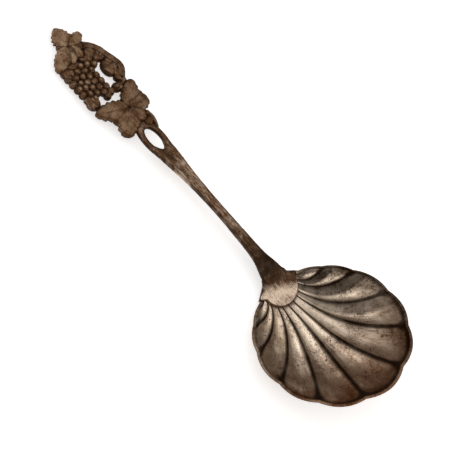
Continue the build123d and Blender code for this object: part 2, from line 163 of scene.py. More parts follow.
# %% Sizes of the bowl
RIM_RADIUS, SCALLOP, RIM_WIDTH, WALL = 23.65, 1.15, 1.1, 1.0
LIP = RIM_RADIUS - RIM_WIDTH
BOWL_DEPTH, DISH_POWER = 4.2, 2.8
FLUTE_RATIO = 0.17  # depth of a flute for its width
RIDGE_RIM = (20.0, 55.5, 87.6, 118.0, 141.2)  # degrees from the middle, where a ridge meets the lip
RIDGE_TAB = (9.2, 27.5, 40.3, 60.5, 73.0)  # and where it leaves the tongue
RIDGE_LEAVE = (1.3, 9.7, 17.9, 27.4, 26.2)  # and its heading there
RIDGE_REACH = 0.46  # share of its length over which a ridge keeps that heading
SHOULDER_RIM, SHOULDER_TAB = 160.0, 84.0
PAD_SLOPE, PAD_EDGE = np.radians(30.0), 21.9
TAB_SETBACK, TAB_RADIUS = 0.6, 6.5
ROOT_RUN, ROOT_HALF_WIDTH = 3.2, 4.2
RIM_TILT = np.radians(16.35)
RIM_CENTRE = np.array((50.0881, 0.0, 8.3890))


def dish(points):
    """Sets the height: -depth (1 - (radius / lip) ^ power), a bowl of revolution that is 0 at the lip."""
    share = np.minimum(np.hypot(points[..., 0], points[..., 1]) / LIP, 1.0)
    sunk = points.copy()
    sunk[..., 2] = -BOWL_DEPTH * (1 - share**DISH_POWER)
    return sunk


def dish_outward(points):
    """Unit normal of that bowl, down and out of the metal."""
    radius = np.hypot(points[..., 0], points[..., 1])
    slope = BOWL_DEPTH * DISH_POWER * np.minimum(radius / LIP, 1.0) ** (DISH_POWER - 1) / LIP
    flat = points[..., :2] * (slope / radius)[..., None]
    normal = np.concatenate((flat, -np.ones(flat.shape[:-1] + (1,))), axis=-1)
    return normal / np.linalg.norm(normal, axis=-1, keepdims=True)


def on_pad(x, y, z=0.0):
    """Point of the sloping pad, x down into the bowl, in the bowl's own frame."""
    x, y, z = np.broadcast_arrays(x, y, z)
    ahead = np.cos(PAD_SLOPE) * x + np.sin(PAD_SLOPE) * z
    above = np.cos(PAD_SLOPE) * z - np.sin(PAD_SLOPE) * x
    return np.stack((ahead, y, above), -1) - np.array((PAD_EDGE, 0.0, 0.0))


def tab_line(angle, drop=0.0):
    """Half-round line where the ridges start: a circle on the pad."""
    angle = np.radians(angle)
    return on_pad(TAB_RADIUS * np.cos(angle) - TAB_SETBACK, TAB_RADIUS * np.sin(angle), -drop)


def rim_line(angle, radius):
    """Circle in the plane of the rim."""
    angle = np.radians(angle)
    return np.stack(np.broadcast_arrays(radius * np.cos(angle), radius * np.sin(angle), 0.0), -1)


def shoulder_end(side, radius):
    """Place where the pad meets the rim circle at one side, with the height of the pad."""
    end = rim_line(side * SHOULDER_RIM, radius)
    end[2] = -np.tan(PAD_SLOPE) * (end[0] + PAD_EDGE)
    return end


def placed(points):
    """The bowl's own frame leaned back by the tilt of the rim and moved to its place."""
    x_dir = np.array((np.cos(RIM_TILT), 0.0, np.sin(RIM_TILT)))
    y_dir = np.array((0.0, 1.0, 0.0))
    z_dir = np.array((-np.sin(RIM_TILT), 0.0, np.cos(RIM_TILT)))
    return RIM_CENTRE + points[..., :1] * x_dir + points[..., 1:2] * y_dir + points[..., 2:] * z_dir


print("rim in the frame", placed(rim_line(np.array((0.0, 180.0)), RIM_RADIUS)).round(2).tolist())

# %% [markdown]
# The ridges follow a dish of revolution, and the floor of a flute sinks below the line between its two
# ridges by a share of its width. Four places on each line are enough, because a smooth curve is laid
# through them next. The outside follows the inside at the thickness of the wall.

# %% Ridges and floors at 0, 1/3, 2/3 and 1 of their length
signs = np.array((-1,) * 5 + (1,) * 5)
order = np.array((4, 3, 2, 1, 0, 0, 1, 2, 3, 4))
tab_angle = signs * np.array(RIDGE_TAB)[order]
rim_angle = signs * np.array(RIDGE_RIM)[order]
leave = np.radians(signs * np.array(RIDGE_LEAVE)[order])
first, last = tab_line(tab_angle), rim_line(rim_angle, LIP)
reach = RIDGE_REACH * np.linalg.norm((last - first)[:, :2], axis=1)
knee = first + np.stack((np.cos(leave), np.sin(leave), np.zeros(len(signs))), -1) * reach[:, None]
thirds = np.array((1 / 3, 2 / 3))[:, None, None]
middle = dish(first * (1 - thirds) ** 2 + knee * 2 * thirds * (1 - thirds) + last * thirds**2)


def with_shoulders(ridges, drop, radius):
    """Adds the straight line on the pad that ends the fan at each side."""
    lines = []
    for side in (-1, 1):
        start, end = tab_line(side * SHOULDER_TAB, drop), shoulder_end(side, radius)
        lines.append(start + (end - start) * np.linspace(0, 1, 4)[:, None])
    return np.concatenate((lines[0][None], ridges, lines[1][None]))


inner_ridges = np.stack((first, middle[0], middle[1], last), axis=1)
under_middle = middle + dish_outward(middle) * WALL
under_first, under_last = tab_line(tab_angle, WALL), rim_line(rim_angle, RIM_RADIUS)
outer_ridges = np.stack((under_first, under_middle[0], under_middle[1], under_last), axis=1)
inner_ridges = with_shoulders(inner_ridges, 0.0, LIP)
outer_ridges = with_shoulders(outer_ridges, WALL, RIM_RADIUS)
tab_angle = np.concatenate(((-SHOULDER_TAB,), tab_angle, (SHOULDER_TAB,)))
rim_angle = np.concatenate(((-SHOULDER_RIM,), rim_angle, (SHOULDER_RIM,)))
tab_middle = (tab_angle[1:] + tab_angle[:-1]) / 2
rim_middle = (rim_angle[1:] + rim_angle[:-1]) / 2
swell = SCALLOP * ((rim_angle[1:] - rim_angle[:-1]) / (2 * RIDGE_RIM[0])) ** 2
chord = (inner_ridges[1:, 1:3] + inner_ridges[:-1, 1:3]) / 2
flute_width = np.linalg.norm(inner_ridges[1:, 1:3] - inner_ridges[:-1, 1:3], axis=-1, keepdims=True)
floor_middle = chord + dish_outward(chord) * FLUTE_RATIO * flute_width
inner_floors = np.concatenate((
    tab_line(tab_middle)[:, None],
    floor_middle,
    rim_line(rim_middle, LIP + swell)[:, None],
), 1)
outer_floors = np.concatenate((
    tab_line(tab_middle, WALL)[:, None],
    floor_middle + dish_outward(floor_middle) * WALL,
    rim_line(rim_middle, RIM_RADIUS + swell)[:, None],
), 1)
FLUTES = len(inner_floors)
print("flutes", FLUTES)

# %% [markdown]
# Between its two ridges a flute is a parabola. The real ridges are not knife edges: wear has left a narrow
# rounded crest, so the parabola is flattened over the last three quarters of a millimetre on each side.

# %% Surfaces of the flutes
ROWS, STEPS = 72, 34
CREST = 0.75  # width over which the ridge is rounded


def cubic_weights(t):
    """Weights of the cubic through four points at 0, 1/3, 2/3 and 1."""
    return np.stack((
        (1 - t) * (2 - 3 * t) * (1 - 3 * t) / 2,
        9 * t * (1 - t) * (2 - 3 * t) / 2,
        9 * t * (1 - t) * (3 * t - 1) / 2,
        t * (2 - 3 * t) * (1 - 3 * t) / 2,
    ), -1)


def flute_skin(ridges, floors, crest):
    """Points [flute, row, step]: the line between two ridges plus the sink of the floor times 4 t (1 - t)."""
    weights = cubic_weights(np.linspace(0, 1, ROWS))
    lines = np.einsum("rk,nkc->nrc", weights, ridges)
    bottom = np.einsum("rk,nkc->nrc", weights, floors)
    even = np.linspace(0, 1, STEPS + 1)[:-1]
    t = 0.5 * even + 0.25 * (1 - np.cos(np.pi * even))  # closer steps beside the ridges
    one, other = lines[:-1, :, None], lines[1:, :, None]
    width = np.linalg.norm(one - other, axis=-1)
    sink = (bottom - (lines[:-1] + lines[1:]) / 2)[:, :, None]
    to_ridge = width * np.minimum(t, 1 - t)
    ease = np.clip(to_ridge / crest, 0, 1)
    hollow = 4 * t * (1 - t) * ease * (2 - ease)
    skin = one + (other - one) * t[:, None] + sink * hollow[..., None]
    return skin, to_ridge, lines[-1], t


inner_skin, crest_distance, inner_last, across_flute = flute_skin(inner_ridges, inner_floors, CREST)
outer_skin, _, outer_last, _ = flute_skin(outer_ridges, outer_floors, CREST / 2)


def columns_of(skin, last_line):
    """Flutes laid side by side: one column of points for each step round the bowl, and the last ridge."""
    side_by_side = skin.transpose(0, 2, 1, 3).reshape(-1, ROWS, 3)
    return np.concatenate((side_by_side, last_line[None]))


inner_columns = columns_of(inner_skin, inner_last)
outer_columns = columns_of(outer_skin, outer_last)
crest_columns = crest_distance.transpose(0, 2, 1).reshape(-1, ROWS)
crest_columns = np.concatenate((crest_columns, np.zeros((1, ROWS))))
print("columns round the bowl", len(inner_columns))

# %% [markdown]
# The lip is a flat band. Its two edges are worn, so the band is bowed by a fifth of a millimetre, always
# downwards, to stay inside the solid's own height. The loop of every column then runs up the inside, over
# the lip and down the outside, and the loops side by side close into one shell. The pad under the tongue
# is a small slab of its own outline, in the same mesh and a hair thinner, so that the two share no edge.

# %% Bowl mesh
LIP_ROWS, LIP_BOW = 7, 0.22
LIP_PULL = 0.004  # share by which the outer edge of the lip is drawn in
EDGE_POWER = 30  # keeps the bow and the pull to the last rows below the lip
SLAB_SINK = 0.03  # share of the wall by which the slab is thinner on both sides
across_lip = np.linspace(0, 1, LIP_ROWS + 2)[1:-1]
row_share = np.linspace(0, 1, ROWS)
bow = np.array((0.0, 0.0, LIP_BOW))
at_edge = (row_share**EDGE_POWER)[:, None]
inner_columns = inner_columns - bow * at_edge
outer_columns = (outer_columns - bow * at_edge) * (1 - LIP_PULL * at_edge * np.array((1, 1, 0)))
inner_edge, outer_edge = inner_columns[:, -1:], outer_columns[:, -1:]
band = inner_edge + (outer_edge - inner_edge) * across_lip[:, None]
band = band + bow * (1 - (2 * across_lip - 1) ** 4)[:, None]
loops = np.concatenate((inner_columns, band, outer_columns[:, ::-1]), axis=1)
count, rows = loops.shape[:2]
first_loop, last_loop = np.arange(rows), np.arange((count - 1) * rows, count * rows)
shell_faces = ring_faces(count, rows).tolist()
shell_faces += strip_across(first_loop[::-1]) + strip_across(last_loop)

ear = shoulder_end(1, RIM_RADIUS)
heel = on_pad(-ROOT_RUN, ROOT_HALF_WIDTH)
flip = np.array((1.0, -1.0, 1.0))
outline = np.concatenate((inner_columns[:, 0], [ear, heel, heel * flip, ear * flip]))
pad_down = on_pad(0.0, 0.0, -WALL) - on_pad(0.0, 0.0, 0.0)
slab = np.concatenate((outline + SLAB_SINK * pad_down, outline + (1 - SLAB_SINK) * pad_down))
corners = len(outline)
around = np.arange(corners)
following = (around + 1) % corners
slab_faces = np.stack((around, around + corners, following + corners, following), -1)
from_heel = np.roll(around, 2)
slab_faces = slab_faces.tolist() + strip_across(from_heel) + strip_across(from_heel[::-1] + corners)
bowl_faces = shell_faces + [[k + count * rows for k in face] for face in slab_faces]
bowl_points = placed(np.concatenate((loops.reshape(-1, 3), slab)))
bowl_points[:, 2] = np.maximum(bowl_points[:, 2], 0.0)  # the keel is worn flat where it stands
print("loops", count, "of", rows, "points, slab of", corners, "corners")

# %% [markdown]
# The darkening of the bowl follows its form, and part of it is painted shade. The ridges are black, and so is
# the line inside the lip, partly tarnish and partly painted shade of the steep wall. A dark gap runs round
# the tongue. Towards the lip, most at the far end, the brown film thickens, partly as painted shade of the
# steeper wall, and turns more orange with tarnish, and next to the lip the metal is painted black as shade.
# On one side of the bowl the outer half of each flute is painted black as shade, and on the other three
# flutes are darker all over.
# Two more numbers, the place across and along the flutes, let the scratches follow the flutes.

# %% Tarnish and painted shade of the bowl
SHADED_FLUTES = (0.0,) * 6 + (0.25, 0.65, 0.8, 0.85, 0.8)  # painted shade: black on the outer half of each flute
DIMMER_FLUTES = (0.0, 0.3, 0.5, 0.1) + (0.0,) * 7  # darker all over each flute
LAST_LIP_WIDTH = 6.0  # taken for the last ridge, which has no flute of its own
FAR_SIDE, AMBER_SIDE, BAND_SHADE_SIDE = 0.3, -0.35, 2.2  # bearings of the darkest film and painted shade, of the amber, and of the darkest painted shade of the lip
FAR_MEAN, AMBER_MEAN = 0.45, 0.35
CREST_DARK, CREST_HALF, CREST_GAIN = 0.98, 0.3, 0.72  # a ridge: black, half-width in mm, gain to the lip
PETAL_GAP, PETAL_SHARE, PETAL_MOST = 0.4, 0.22, 0.62  # a flute ends like a petal, over a share of its width
LINE_WIDTH, LINE_GAIN = 0.6, 0.8  # dark line below the lip in mm, and what it gains at the far end
LINE_DARK, LINE_DARKER = 0.6, 0.38
TONGUE_GAP = 0.022  # share of a flute's length
SHADE_EDGE, SHADE_SLANT = (0.22, 0.37), 0.3  # where across a flute its painted black shade starts
# The black near the tongue and of the painted shade, and the painted shade of the lip band with its change
# round the bowl.
BLACK, BAND_SHADE, BAND_SHADE_CHANGE = 0.9, 0.5, 0.35
# A brown film towards the lip that is partly painted shade of the steeper wall there.
FILM_AND_SHADE_AT_LIP, FILM_AND_SHADE_GAIN = 0.25, 0.35
FAR_POWER, SHADE_POWER = 9, 7  # how close to the lip the painted shade keeps


def bell(x, width, power=2):
    """Bell curve: 1 at 0 and about a third at the width; a higher power gives it a flatter top."""
    return np.exp(-((x / width) ** power))


def ramp(x, start, end):
    """Straight line from 0 at the start to 1 at the end, and level before and after."""
    return np.clip((x - start) / (end - start), 0, 1)


def per_column(values, last=0.0):
    """One number for each column of the bowl, from one for each flute and one for the last ridge."""
    return np.concatenate((np.repeat(values, STEPS), (last,)))[:, None]


def on_side(bearing, middle, mean):
    """A number that is 1 towards the middle bearing and falls by a cosine round a mean, never below 0."""
    return np.clip(mean + (1 - mean) * np.cos(bearing - middle), 0, 1)


along_flute = np.broadcast_to(row_share, crest_columns.shape)
within_flute = np.concatenate((np.tile(across_flute, FLUTES), (0.0,)))[:, None]
lip_width = per_column(np.linalg.norm(inner_ridges[1:, 3] - inner_ridges[:-1, 3], axis=1), LAST_LIP_WIDTH)
to_lip = np.linalg.norm(inner_columns - inner_columns[:, -1:], axis=-1)
bearing = np.arctan2(inner_columns[..., 1], inner_columns[..., 0])
far_end = on_side(bearing, FAR_SIDE, FAR_MEAN)
near_end = on_side(bearing, np.pi, 0.0)
petal = np.clip(1 - (to_lip - PETAL_GAP) / (PETAL_SHARE * lip_width), 0, PETAL_MOST)
petal_end = lip_width / 2 * (1 - np.sqrt(1 - petal**2))
crest_half = CREST_HALF + CREST_GAIN * along_flute + petal_end
on_crest = CREST_DARK * bell(crest_columns, crest_half, 3)
# The line inside the lip is partly tarnish and partly painted shade of the steep wall below it.
line_width = LINE_WIDTH + LINE_GAIN * far_end + near_end
inside_lip = (LINE_DARK + LINE_DARKER * far_end) * ramp(line_width - to_lip, 0, LINE_WIDTH)
round_tongue = BLACK * bell(along_flute, TONGUE_GAP)
# Painted shade: black close to the lip, most at the far end.
painted_shade_towards_lip = BLACK * far_end**2 * along_flute**FAR_POWER
# Painted shade: black over the outer half of the flutes on one side of the bowl, and close to their ends.
shade = per_column(SHADED_FLUTES)
painted_shade_outer_half = shade * ramp(within_flute - SHADE_SLANT * along_flute, *SHADE_EDGE)
painted_shade_at_end = BLACK * shade * along_flute**SHADE_POWER
inner_patina_and_shade = np.max((on_crest, inside_lip, round_tongue, painted_shade_towards_lip, painted_shade_outer_half, painted_shade_at_end), axis=0)
# Painted shade on the lip band: darker towards one side and at both edges.
band_painted_shade = BAND_SHADE + BAND_SHADE_CHANGE * np.cos(bearing[:, -1:] - BAND_SHADE_SIDE)
band_painted_shade = band_painted_shade + BAND_SHADE_CHANGE * np.abs(2 * across_lip - 1) ** 3
# Brown film, partly painted shade, thickening towards the lip and most at the far end; three flutes are
# darker all over.
film_and_shade_inside = np.maximum((FILM_AND_SHADE_AT_LIP + FILM_AND_SHADE_GAIN * far_end) * along_flute**2, per_column(DIMMER_FLUTES))
amber_inside = along_flute**2 * on_side(bearing, AMBER_SIDE, AMBER_MEAN)
print("mean patina inside the bowl", inner_patina_and_shade.mean().round(3))

# %% [markdown]
# Each point of the bowl now gets its numbers, in the order in which the loops were made: inside, lip and
# outside. For the grain the flutes are laid out flat, side by side, with a mean width and length, so that a
# scratch keeps to its flute. The photograph doesn't show the outside, so that has one even film.

# %% Finished bowl
MEAN_FLUTE_WIDTH, MEAN_FLUTE_LENGTH = 8.0, 28.0
OUTSIDE_DARK, SLAB_DARK = 0.25, 0.8
OUTSIDE_WORN, SLAB_WORN = 0.35, 0.2
BAND_AMBER, OUTSIDE_AMBER = 0.8, 0.2


def round_the_loop(inside, on_band, outside, on_slab):
    """One number for each point of the bowl, in the order of its loops and then of the slab."""
    on_band, outside = np.broadcast_to(on_band, (count, LIP_ROWS)), np.broadcast_to(outside, (count, ROWS))
    loop_values = np.concatenate((inside, on_band, outside), axis=1)
    return np.concatenate((loop_values.ravel(), np.full(2 * corners, on_slab)))


flute_number = np.concatenate(((np.arange(FLUTES)[:, None] + across_flute).ravel(), (FLUTES,)))
across_columns = np.broadcast_to(MEAN_FLUTE_WIDTH * flute_number[:, None], along_flute.shape)
# The black number holds the patina with the painted shade, and the wear is what the film, partly painted
# shade, leaves.
add_piece(
    "fluted_bowl", bowl_points, bowl_faces, "bowl", "bowl_silver",
    patina=round_the_loop(inner_patina_and_shade, band_painted_shade, OUTSIDE_DARK, SLAB_DARK),
    wear=round_the_loop(1 - film_and_shade_inside, OUTSIDE_WORN, OUTSIDE_WORN, SLAB_WORN),
    amber=round_the_loop(amber_inside, BAND_AMBER * amber_inside[:, -1:], OUTSIDE_AMBER, 0.0),
    across=round_the_loop(across_columns, across_columns[:, -1:], across_columns, 0.0),
    along=MEAN_FLUTE_LENGTH * round_the_loop(along_flute, 1.0, along_flute[:, ::-1], 0.0),
)

# %% [markdown]
# ## Pieces cut from a sheet
# The handle is one flat forging: a tongue, a slim stem, a loop round the eye and a pierced end. Such a
# piece is a height above a flat sheet, cut along an outline. The outline is a field of two parameters that
# is negative inside. Grid points near its zero line are pulled on to it, cells inside are kept, and a wall
# joins the upper and the lower side. It is all done on whole arrays.

# %% Sheet cutter
PULL_REACH, PULL_MOST = 0.62, 0.5  # steps of the grid from which a point is pulled, and at most at once
PULL_ROUNDS = 4
SLOPE_STEP = 0.02  # steps of the grid over which the slope of an outline is measured
FLATTEST = 0.3  # least slope squared of an outline, which keeps the pull small where two outlines meet
BORDER = 0.12  # steps of the grid by which a kept point may lie outside
SLACK = 0.02  # share of the way back after the pull, so that points pulled to one place stay apart


def cell_corners(grid):
    """The four corners of every cell of a grid, going round."""
    return grid[:-1, :-1], grid[1:, :-1], grid[1:, 1:], grid[:-1, 1:]


def cut_sheet(outline, us, vs):
    """Grid in u and v with its border pulled on to the outline's zero line; returns grid and kept cells."""
    step = us[1] - us[0]
    tiny = SLOPE_STEP * step
    u, v = np.meshgrid(us, vs, indexing="ij")
    grid_u, grid_v = u, v
    close = np.abs(outline(u, v)) < PULL_REACH * step
    for _ in range(PULL_ROUNDS):
        away = outline(u, v)
        du = (outline(u + tiny, v) - away) / tiny
        dv = (outline(u, v + tiny) - away) / tiny
        pull = np.where(close, away / np.maximum(du**2 + dv**2, FLATTEST), 0.0)
        pull = np.clip(pull, -PULL_MOST * step, PULL_MOST * step)
        u, v = u - pull * du, v - pull * dv
    u, v = u + SLACK * (grid_u - u), v + SLACK * (grid_v - v)
    kept = np.all(cell_corners(outline(u, v) < BORDER * step), axis=0)
    kept &= outline(sum(cell_corners(u)) / 4, sum(cell_corners(v)) / 4) < 0
    for _ in range(2):  # cells that touch at one corner only would pinch the wall there
        a, b, c, d = cell_corners(kept)
        one_way, other_way = a & c & ~b & ~d, b & d & ~a & ~c
        kept[1:, 1:] &= ~one_way
        kept[:-1, 1:] &= ~other_way
    return u, v, kept


def sheet_faces(kept):
    """Faces of a cut sheet: upper cells, lower cells, and a wall wherever a kept cell has no neighbour."""
    nu, nv = kept.shape[0] + 1, kept.shape[1] + 1
    low = nu * nv
    i, j = np.nonzero(kept)
    a, b, c, d = (corner[i, j] for corner in cell_corners(np.arange(low).reshape(nu, nv)))
    faces = [np.stack((a, b, c, d), -1), np.stack((d, c, b, a), -1) + low]
    framed = np.pad(kept, 1)
    for du, dv, start, end in ((-1, 0, a, d), (1, 0, c, b), (0, -1, b, a), (0, 1, d, c)):
        bare = ~framed[i + 1 + du, j + 1 + dv]
        s, e = start[bare], end[bare]
        faces.append(np.stack((s, e, e + low, s + low), -1))
    faces = np.concatenate(faces)
    used = np.unique(faces)
    renumber = np.zeros(2 * low, dtype=int)
    renumber[used] = np.arange(len(used))
    return renumber[faces].tolist(), used


def oval(u, v, centre, long, wide, turn=0.0):
    """Outline of an oval, about in mm from its edge, negative inside."""
    turn = np.radians(turn)
    x, y = u - centre[0], v - centre[1]
    x, y = x * np.cos(turn) + y * np.sin(turn), y * np.cos(turn) - x * np.sin(turn)
    return (np.hypot(x / long, y / wide) - 1) * min(long, wide)


def rounding(depth, radius):
    """Drop of a rounded edge: a quarter circle, from the radius at the edge to 0 at that depth inside."""
    short = np.clip(1 - depth / radius, 0, 1)
    return radius * (1 - np.sqrt(1 - short**2))


print("an edge rounded by 0.5 mm drops", rounding(0.1, 0.5).round(3), "mm at 0.1 mm inside")

# %% [markdown]
# ## The line of the handle
# From the tongue the handle runs straight up the pad, bends down over a short radius, follows a long gentle
# arch and ends straight. Points are given by u, the distance from the tip along that line, v across, and a
# height over it.

# %% Spine
BEND_RADIUS, BEND_ANGLE = 60.0, np.radians(12.0)
ARCH_RADIUS, ARCH_ANGLE = 400.0, np.radians(6.1)
TERMINAL = 45.0
ROOT_HEADING = np.radians(166.35)
ROOT = np.array((25.9641, 2.9793))
BEND_RUN = BEND_RADIUS * BEND_ANGLE
ARCH_RUN = ARCH_RADIUS * ARCH_ANGLE
SPINE = BEND_RUN + ARCH_RUN + TERMINAL


def on_spine(u, v, height):
    """Place on the handle: two arcs and straight ends in the XZ plane, height along their upward normal."""
    s = SPINE - u
    bent = np.clip(s, 0, BEND_RUN) / BEND_RADIUS
    arched = np.clip(s - BEND_RUN, 0, ARCH_RUN) / ARCH_RADIUS
    second = ROOT_HEADING + bent
    third = second + arched
    before = np.minimum(s, 0)
    after = np.maximum(s - BEND_RUN - ARCH_RUN, 0)
    x = ROOT[0] + before * np.cos(ROOT_HEADING) + after * np.cos(third)
    z = ROOT[1] + before * np.sin(ROOT_HEADING) + after * np.sin(third)
    x = x + BEND_RADIUS * (np.sin(second) - np.sin(ROOT_HEADING))
    z = z + BEND_RADIUS * (np.cos(ROOT_HEADING) - np.cos(second))
    x = x + ARCH_RADIUS * (np.sin(third) - np.sin(second)) + height * np.sin(third)
    z = z + ARCH_RADIUS * (np.cos(second) - np.cos(third)) - height * np.cos(third)
    return np.stack((x, np.broadcast_to(v, x.shape), z), -1)


def sheet_piece(name, u, v, kept, top, low, stands_for, slot, **values_at_points):
    """Piece from a cut sheet: upper and lower heights over the handle's line, with values for both sides."""
    faces, used = sheet_faces(kept)
    points = np.concatenate((on_spine(u, v, top).reshape(-1, 3), on_spine(u, v, low).reshape(-1, 3)))
    values_at_points.update(across=v, along=u)
    values = {key: np.tile(value.ravel(), 2)[used] for key, value in values_at_points.items()}
    add_piece(name, points[used], faces, stands_for, slot, **values)


print("tip", on_spine(np.array(0.0), 0.0, 0.0).round(2), "spine", round(SPINE, 2))

# %% [markdown]
# ## The vine leaves
# A vine leaf has five toothed lobes round a heart, with lower webs between them. Each lobe is half a wave
# long and blunt, puffed up on both sides of its midrib. The leaf's outline is the union of lobes and webs,
# and its height the highest of them, so that a crease is left wherever two of them meet.

# %% Leaf outline and relief
PLATE = 1.5
LEAF_EDGE, LEAF_SWELL, LEAF_DROOP = 0.55, 0.95, 0.8
LOBE_START, TOOTH_DEPTH, TEETH = 0.15, 0.2, 6
LEAST_WAVE = 0.002  # keeps a lobe from closing to nothing at its tip
PUFF_START, PUFF_BLUNT = 0.08, 0.6
RIB_SINK, RIB_WIDTH = 0.34, 0.45  # a sunken midrib
RIB_LINE, RIB_LINE_WIDTH = 0.18, 0.15  # and a fine raised line in it
VEIN_DEPTH, VEIN_SLANT, VEIN_PITCH = 0.09, 0.9, 1.6
WEB_SWELL = 0.6  # share of the swell of a lobe
TIP_HEART = (7.2, -0.6)
TIP_LOBES = (  # direction, length, half-width, sharpness
    (174.0, 7.3, 3.3, 0.8),
    (100.0, 6.4, 2.2, 0.35),
    (16.0, 5.7, 2.2, 0.6),
    (-24.0, 6.0, 2.4, 0.6),
    (-61.0, 9.1, 2.9, 0.5),
)
TIP_WEBS = ((135.0, 4.3, 1.7, 0.4), (56.0, 4.8, 2.0, 0.4), (-126.0, 3.6, 1.5, 0.4))
BASE_HEART = (33.3, 0.6)
BASE_LOBES = (
    (134.0, 9.6, 3.2, 0.5),
    (81.0, 7.0, 3.2, 0.35),
    (14.0, 6.2, 2.5, 0.5),
    (-46.0, 9.5, 3.9, 0.45),
    (-117.0, 10.8, 3.5, 0.6),
)
BASE_WEBS = ((108.0, 7.0, 2.6, 0.4), (48.0, 5.0, 2.3, 0.4), (-16.0, 6.4, 2.5, 0.4), (-82.0, 7.0, 2.6, 0.4))
LEAVES = (  # and at the end the tarnish and the wear that each leaf has all over
    ("tip_vine_leaf", TIP_HEART, TIP_LOBES, TIP_WEBS, "tip_leaf", 0.0, 0.12),
    ("base_vine_leaf", BASE_HEART, BASE_LOBES, BASE_WEBS, "base_leaf", 0.25, 0.0),
)


def lobe_frame(u, v, heart, lobe):
    """Along and across of a point in a lobe, share of its length, and its half-width without teeth."""
    direction, length, half_width, sharpness = lobe
    turn = np.radians(direction)
    along = (u - heart[0]) * np.cos(turn) + (v - heart[1]) * np.sin(turn)
    across = (v - heart[1]) * np.cos(turn) - (u - heart[0]) * np.sin(turn)
    share = np.clip(along / length, 0, 1)
    wave = np.sin(np.pi * (LOBE_START + (1 - LOBE_START) * share))
    return along, across, share, half_width * np.maximum(wave, LEAST_WAVE) ** sharpness


def leaf_outline(u, v, heart, lobes):
    """Union of the toothed lobes."""
    edges = []
    for lobe in lobes:
        along, across, share, half = lobe_frame(u, v, heart, lobe)
        tooth = np.abs((share * TEETH) % 1 - 0.5) * 2
        side = np.abs(across) - half * (1 - TOOTH_DEPTH * tooth)
        edges.append(np.maximum(side, np.maximum(-along, along - lobe[1])))
    return np.min(edges, axis=0)


def leaf_relief(u, v, heart, lobes):
    """Height of each lobe over the leaf's edge: half a wave along it, puffed up beside a sunken midrib."""
    heights = []
    for lobe in lobes:
        along, across, share, half = lobe_frame(u, v, heart, lobe)
        side = np.clip(np.abs(across) / half, 0, 1)
        wave = np.sin(np.pi * np.clip(PUFF_START + (1 - PUFF_START) * share, 0, 1))
        puff = wave**PUFF_BLUNT * (1 - side**2) ** PUFF_BLUNT
        rib = RIB_LINE * bell(across, RIB_LINE_WIDTH) - RIB_SINK * bell(across, RIB_WIDTH)
        veins = VEIN_DEPTH * np.cos(2 * np.pi * (along - VEIN_SLANT * np.abs(across)) / VEIN_PITCH)
        inside = (along > 0) & (along < lobe[1])
        heights.append(np.where(inside, LEAF_SWELL * puff * (1 + rib + veins * side), 0.0))
    return np.array(heights)


print("lobes and webs of each leaf", [(len(lobes), len(webs)) for _, _, lobes, webs, *_ in LEAVES])

# %% [markdown]
# Each leaf is cut from its own fine grid. The edge droops to the plate below. Tarnish has gathered in the
# low places and in the creases, and the crowns of the lobes are a little worn.

# %% Leaves
LEAF_STEP, LEAF_SPARE = 0.12, 0.5
LEAST_THICK = 0.2
CREASE_WIDTH, CREASE_DEPTH, CREASE_DARK = 0.1, 0.2, 0.75  # in mm of height, and the patina there
HOLLOW_DARK, CROWN_START, CROWN_WORN = 0.6, 0.35, 0.2
for name, heart, lobes, webs, node, tarnish, worn in LEAVES:
    span = max(lobe[1] for lobe in lobes) + LEAF_SPARE
    steps = np.arange(-span, span, LEAF_STEP)
    whole_leaf = partial(leaf_outline, heart=heart, lobes=lobes + webs)
    u, v, kept = cut_sheet(whole_leaf, heart[0] + steps, heart[1] + steps)
    heights = np.concatenate((leaf_relief(u, v, heart, lobes), WEB_SWELL * leaf_relief(u, v, heart, webs)))
    second, relief = np.sort(heights, axis=0)[-2:]
    crease = bell(relief - second, CREASE_WIDTH) * ramp(second, 0, CREASE_DEPTH)
    top = PLATE + LEAF_EDGE + relief - rounding(-whole_leaf(u, v), LEAF_DROOP)
    low = np.minimum(PLATE, top - LEAST_THICK)
    hollow = np.clip(HOLLOW_DARK - relief / (LEAF_SWELL / 2), 0, HOLLOW_DARK)
    hollow = np.maximum(hollow, CREASE_DARK * crease)
    crown = np.clip(relief / LEAF_SWELL - CROWN_START, 0, CROWN_WORN)
    sheet_piece(
        name, u, v, kept, top, low, node, "ornament_silver",
        patina=tarnish + (1 - tarnish) * hollow, wear=crown + worn,
    )

# %% [markdown]
# ## The grape bunch
# The grapes are small domes packed as close as they go, row by row, each row shifted by half a grape. One
# dome is a grid of latitude and longitude. It is copied to every place at once, with small differences in
# place, height and size, because the real ones were chased by hand. Sines of the grape's number, with steps
# that never fall in with each other, give the differences, so they are the same in every run.

# %% Grapes
GRAPE, PITCH, GRAPE_RISE = 2.1, 2.16, 1.35
ROW_PITCH = PITCH * 0.75**0.5  # rows of a triangular pattern
BUNCH_CORNER = (12.82, -7.5)
GRAPE_ROWS = ((2, 6), (1, 6), (2, 5), (1, 7), (2, 6), (1, 2), (2, 1))  # half pitches ahead, and how many
LOOSE_GRAPE, LOOSE_MOVE = 23, (-0.55, 0.1)  # leaves the gap open between the bunch and the leaf
OFF_PLACE, RISE_CHANGE = 0.2, 0.13  # mm from the pattern, and share of the height
SIZE_MEAN, SIZE_CHANGE = 0.96, 0.08  # shares of the size
FOOT_DARK, FOOT_FADE = 0.3, 0.5  # patina round the foot of a grape, and how it fades up the dome
CROWN_GAIN, CROWN_FROM, CROWN_MOST = 1.2, 0.9, 0.25  # wear on its crown
LATITUDES, LONGITUDES = 11, 26
spots = np.array([
    (BUNCH_CORNER[0] + (half_pitches / 2 + k) * PITCH, BUNCH_CORNER[1] + row * ROW_PITCH)
    for row, (half_pitches, grapes_in_row) in enumerate(GRAPE_ROWS)
    for k in range(grapes_in_row)
])
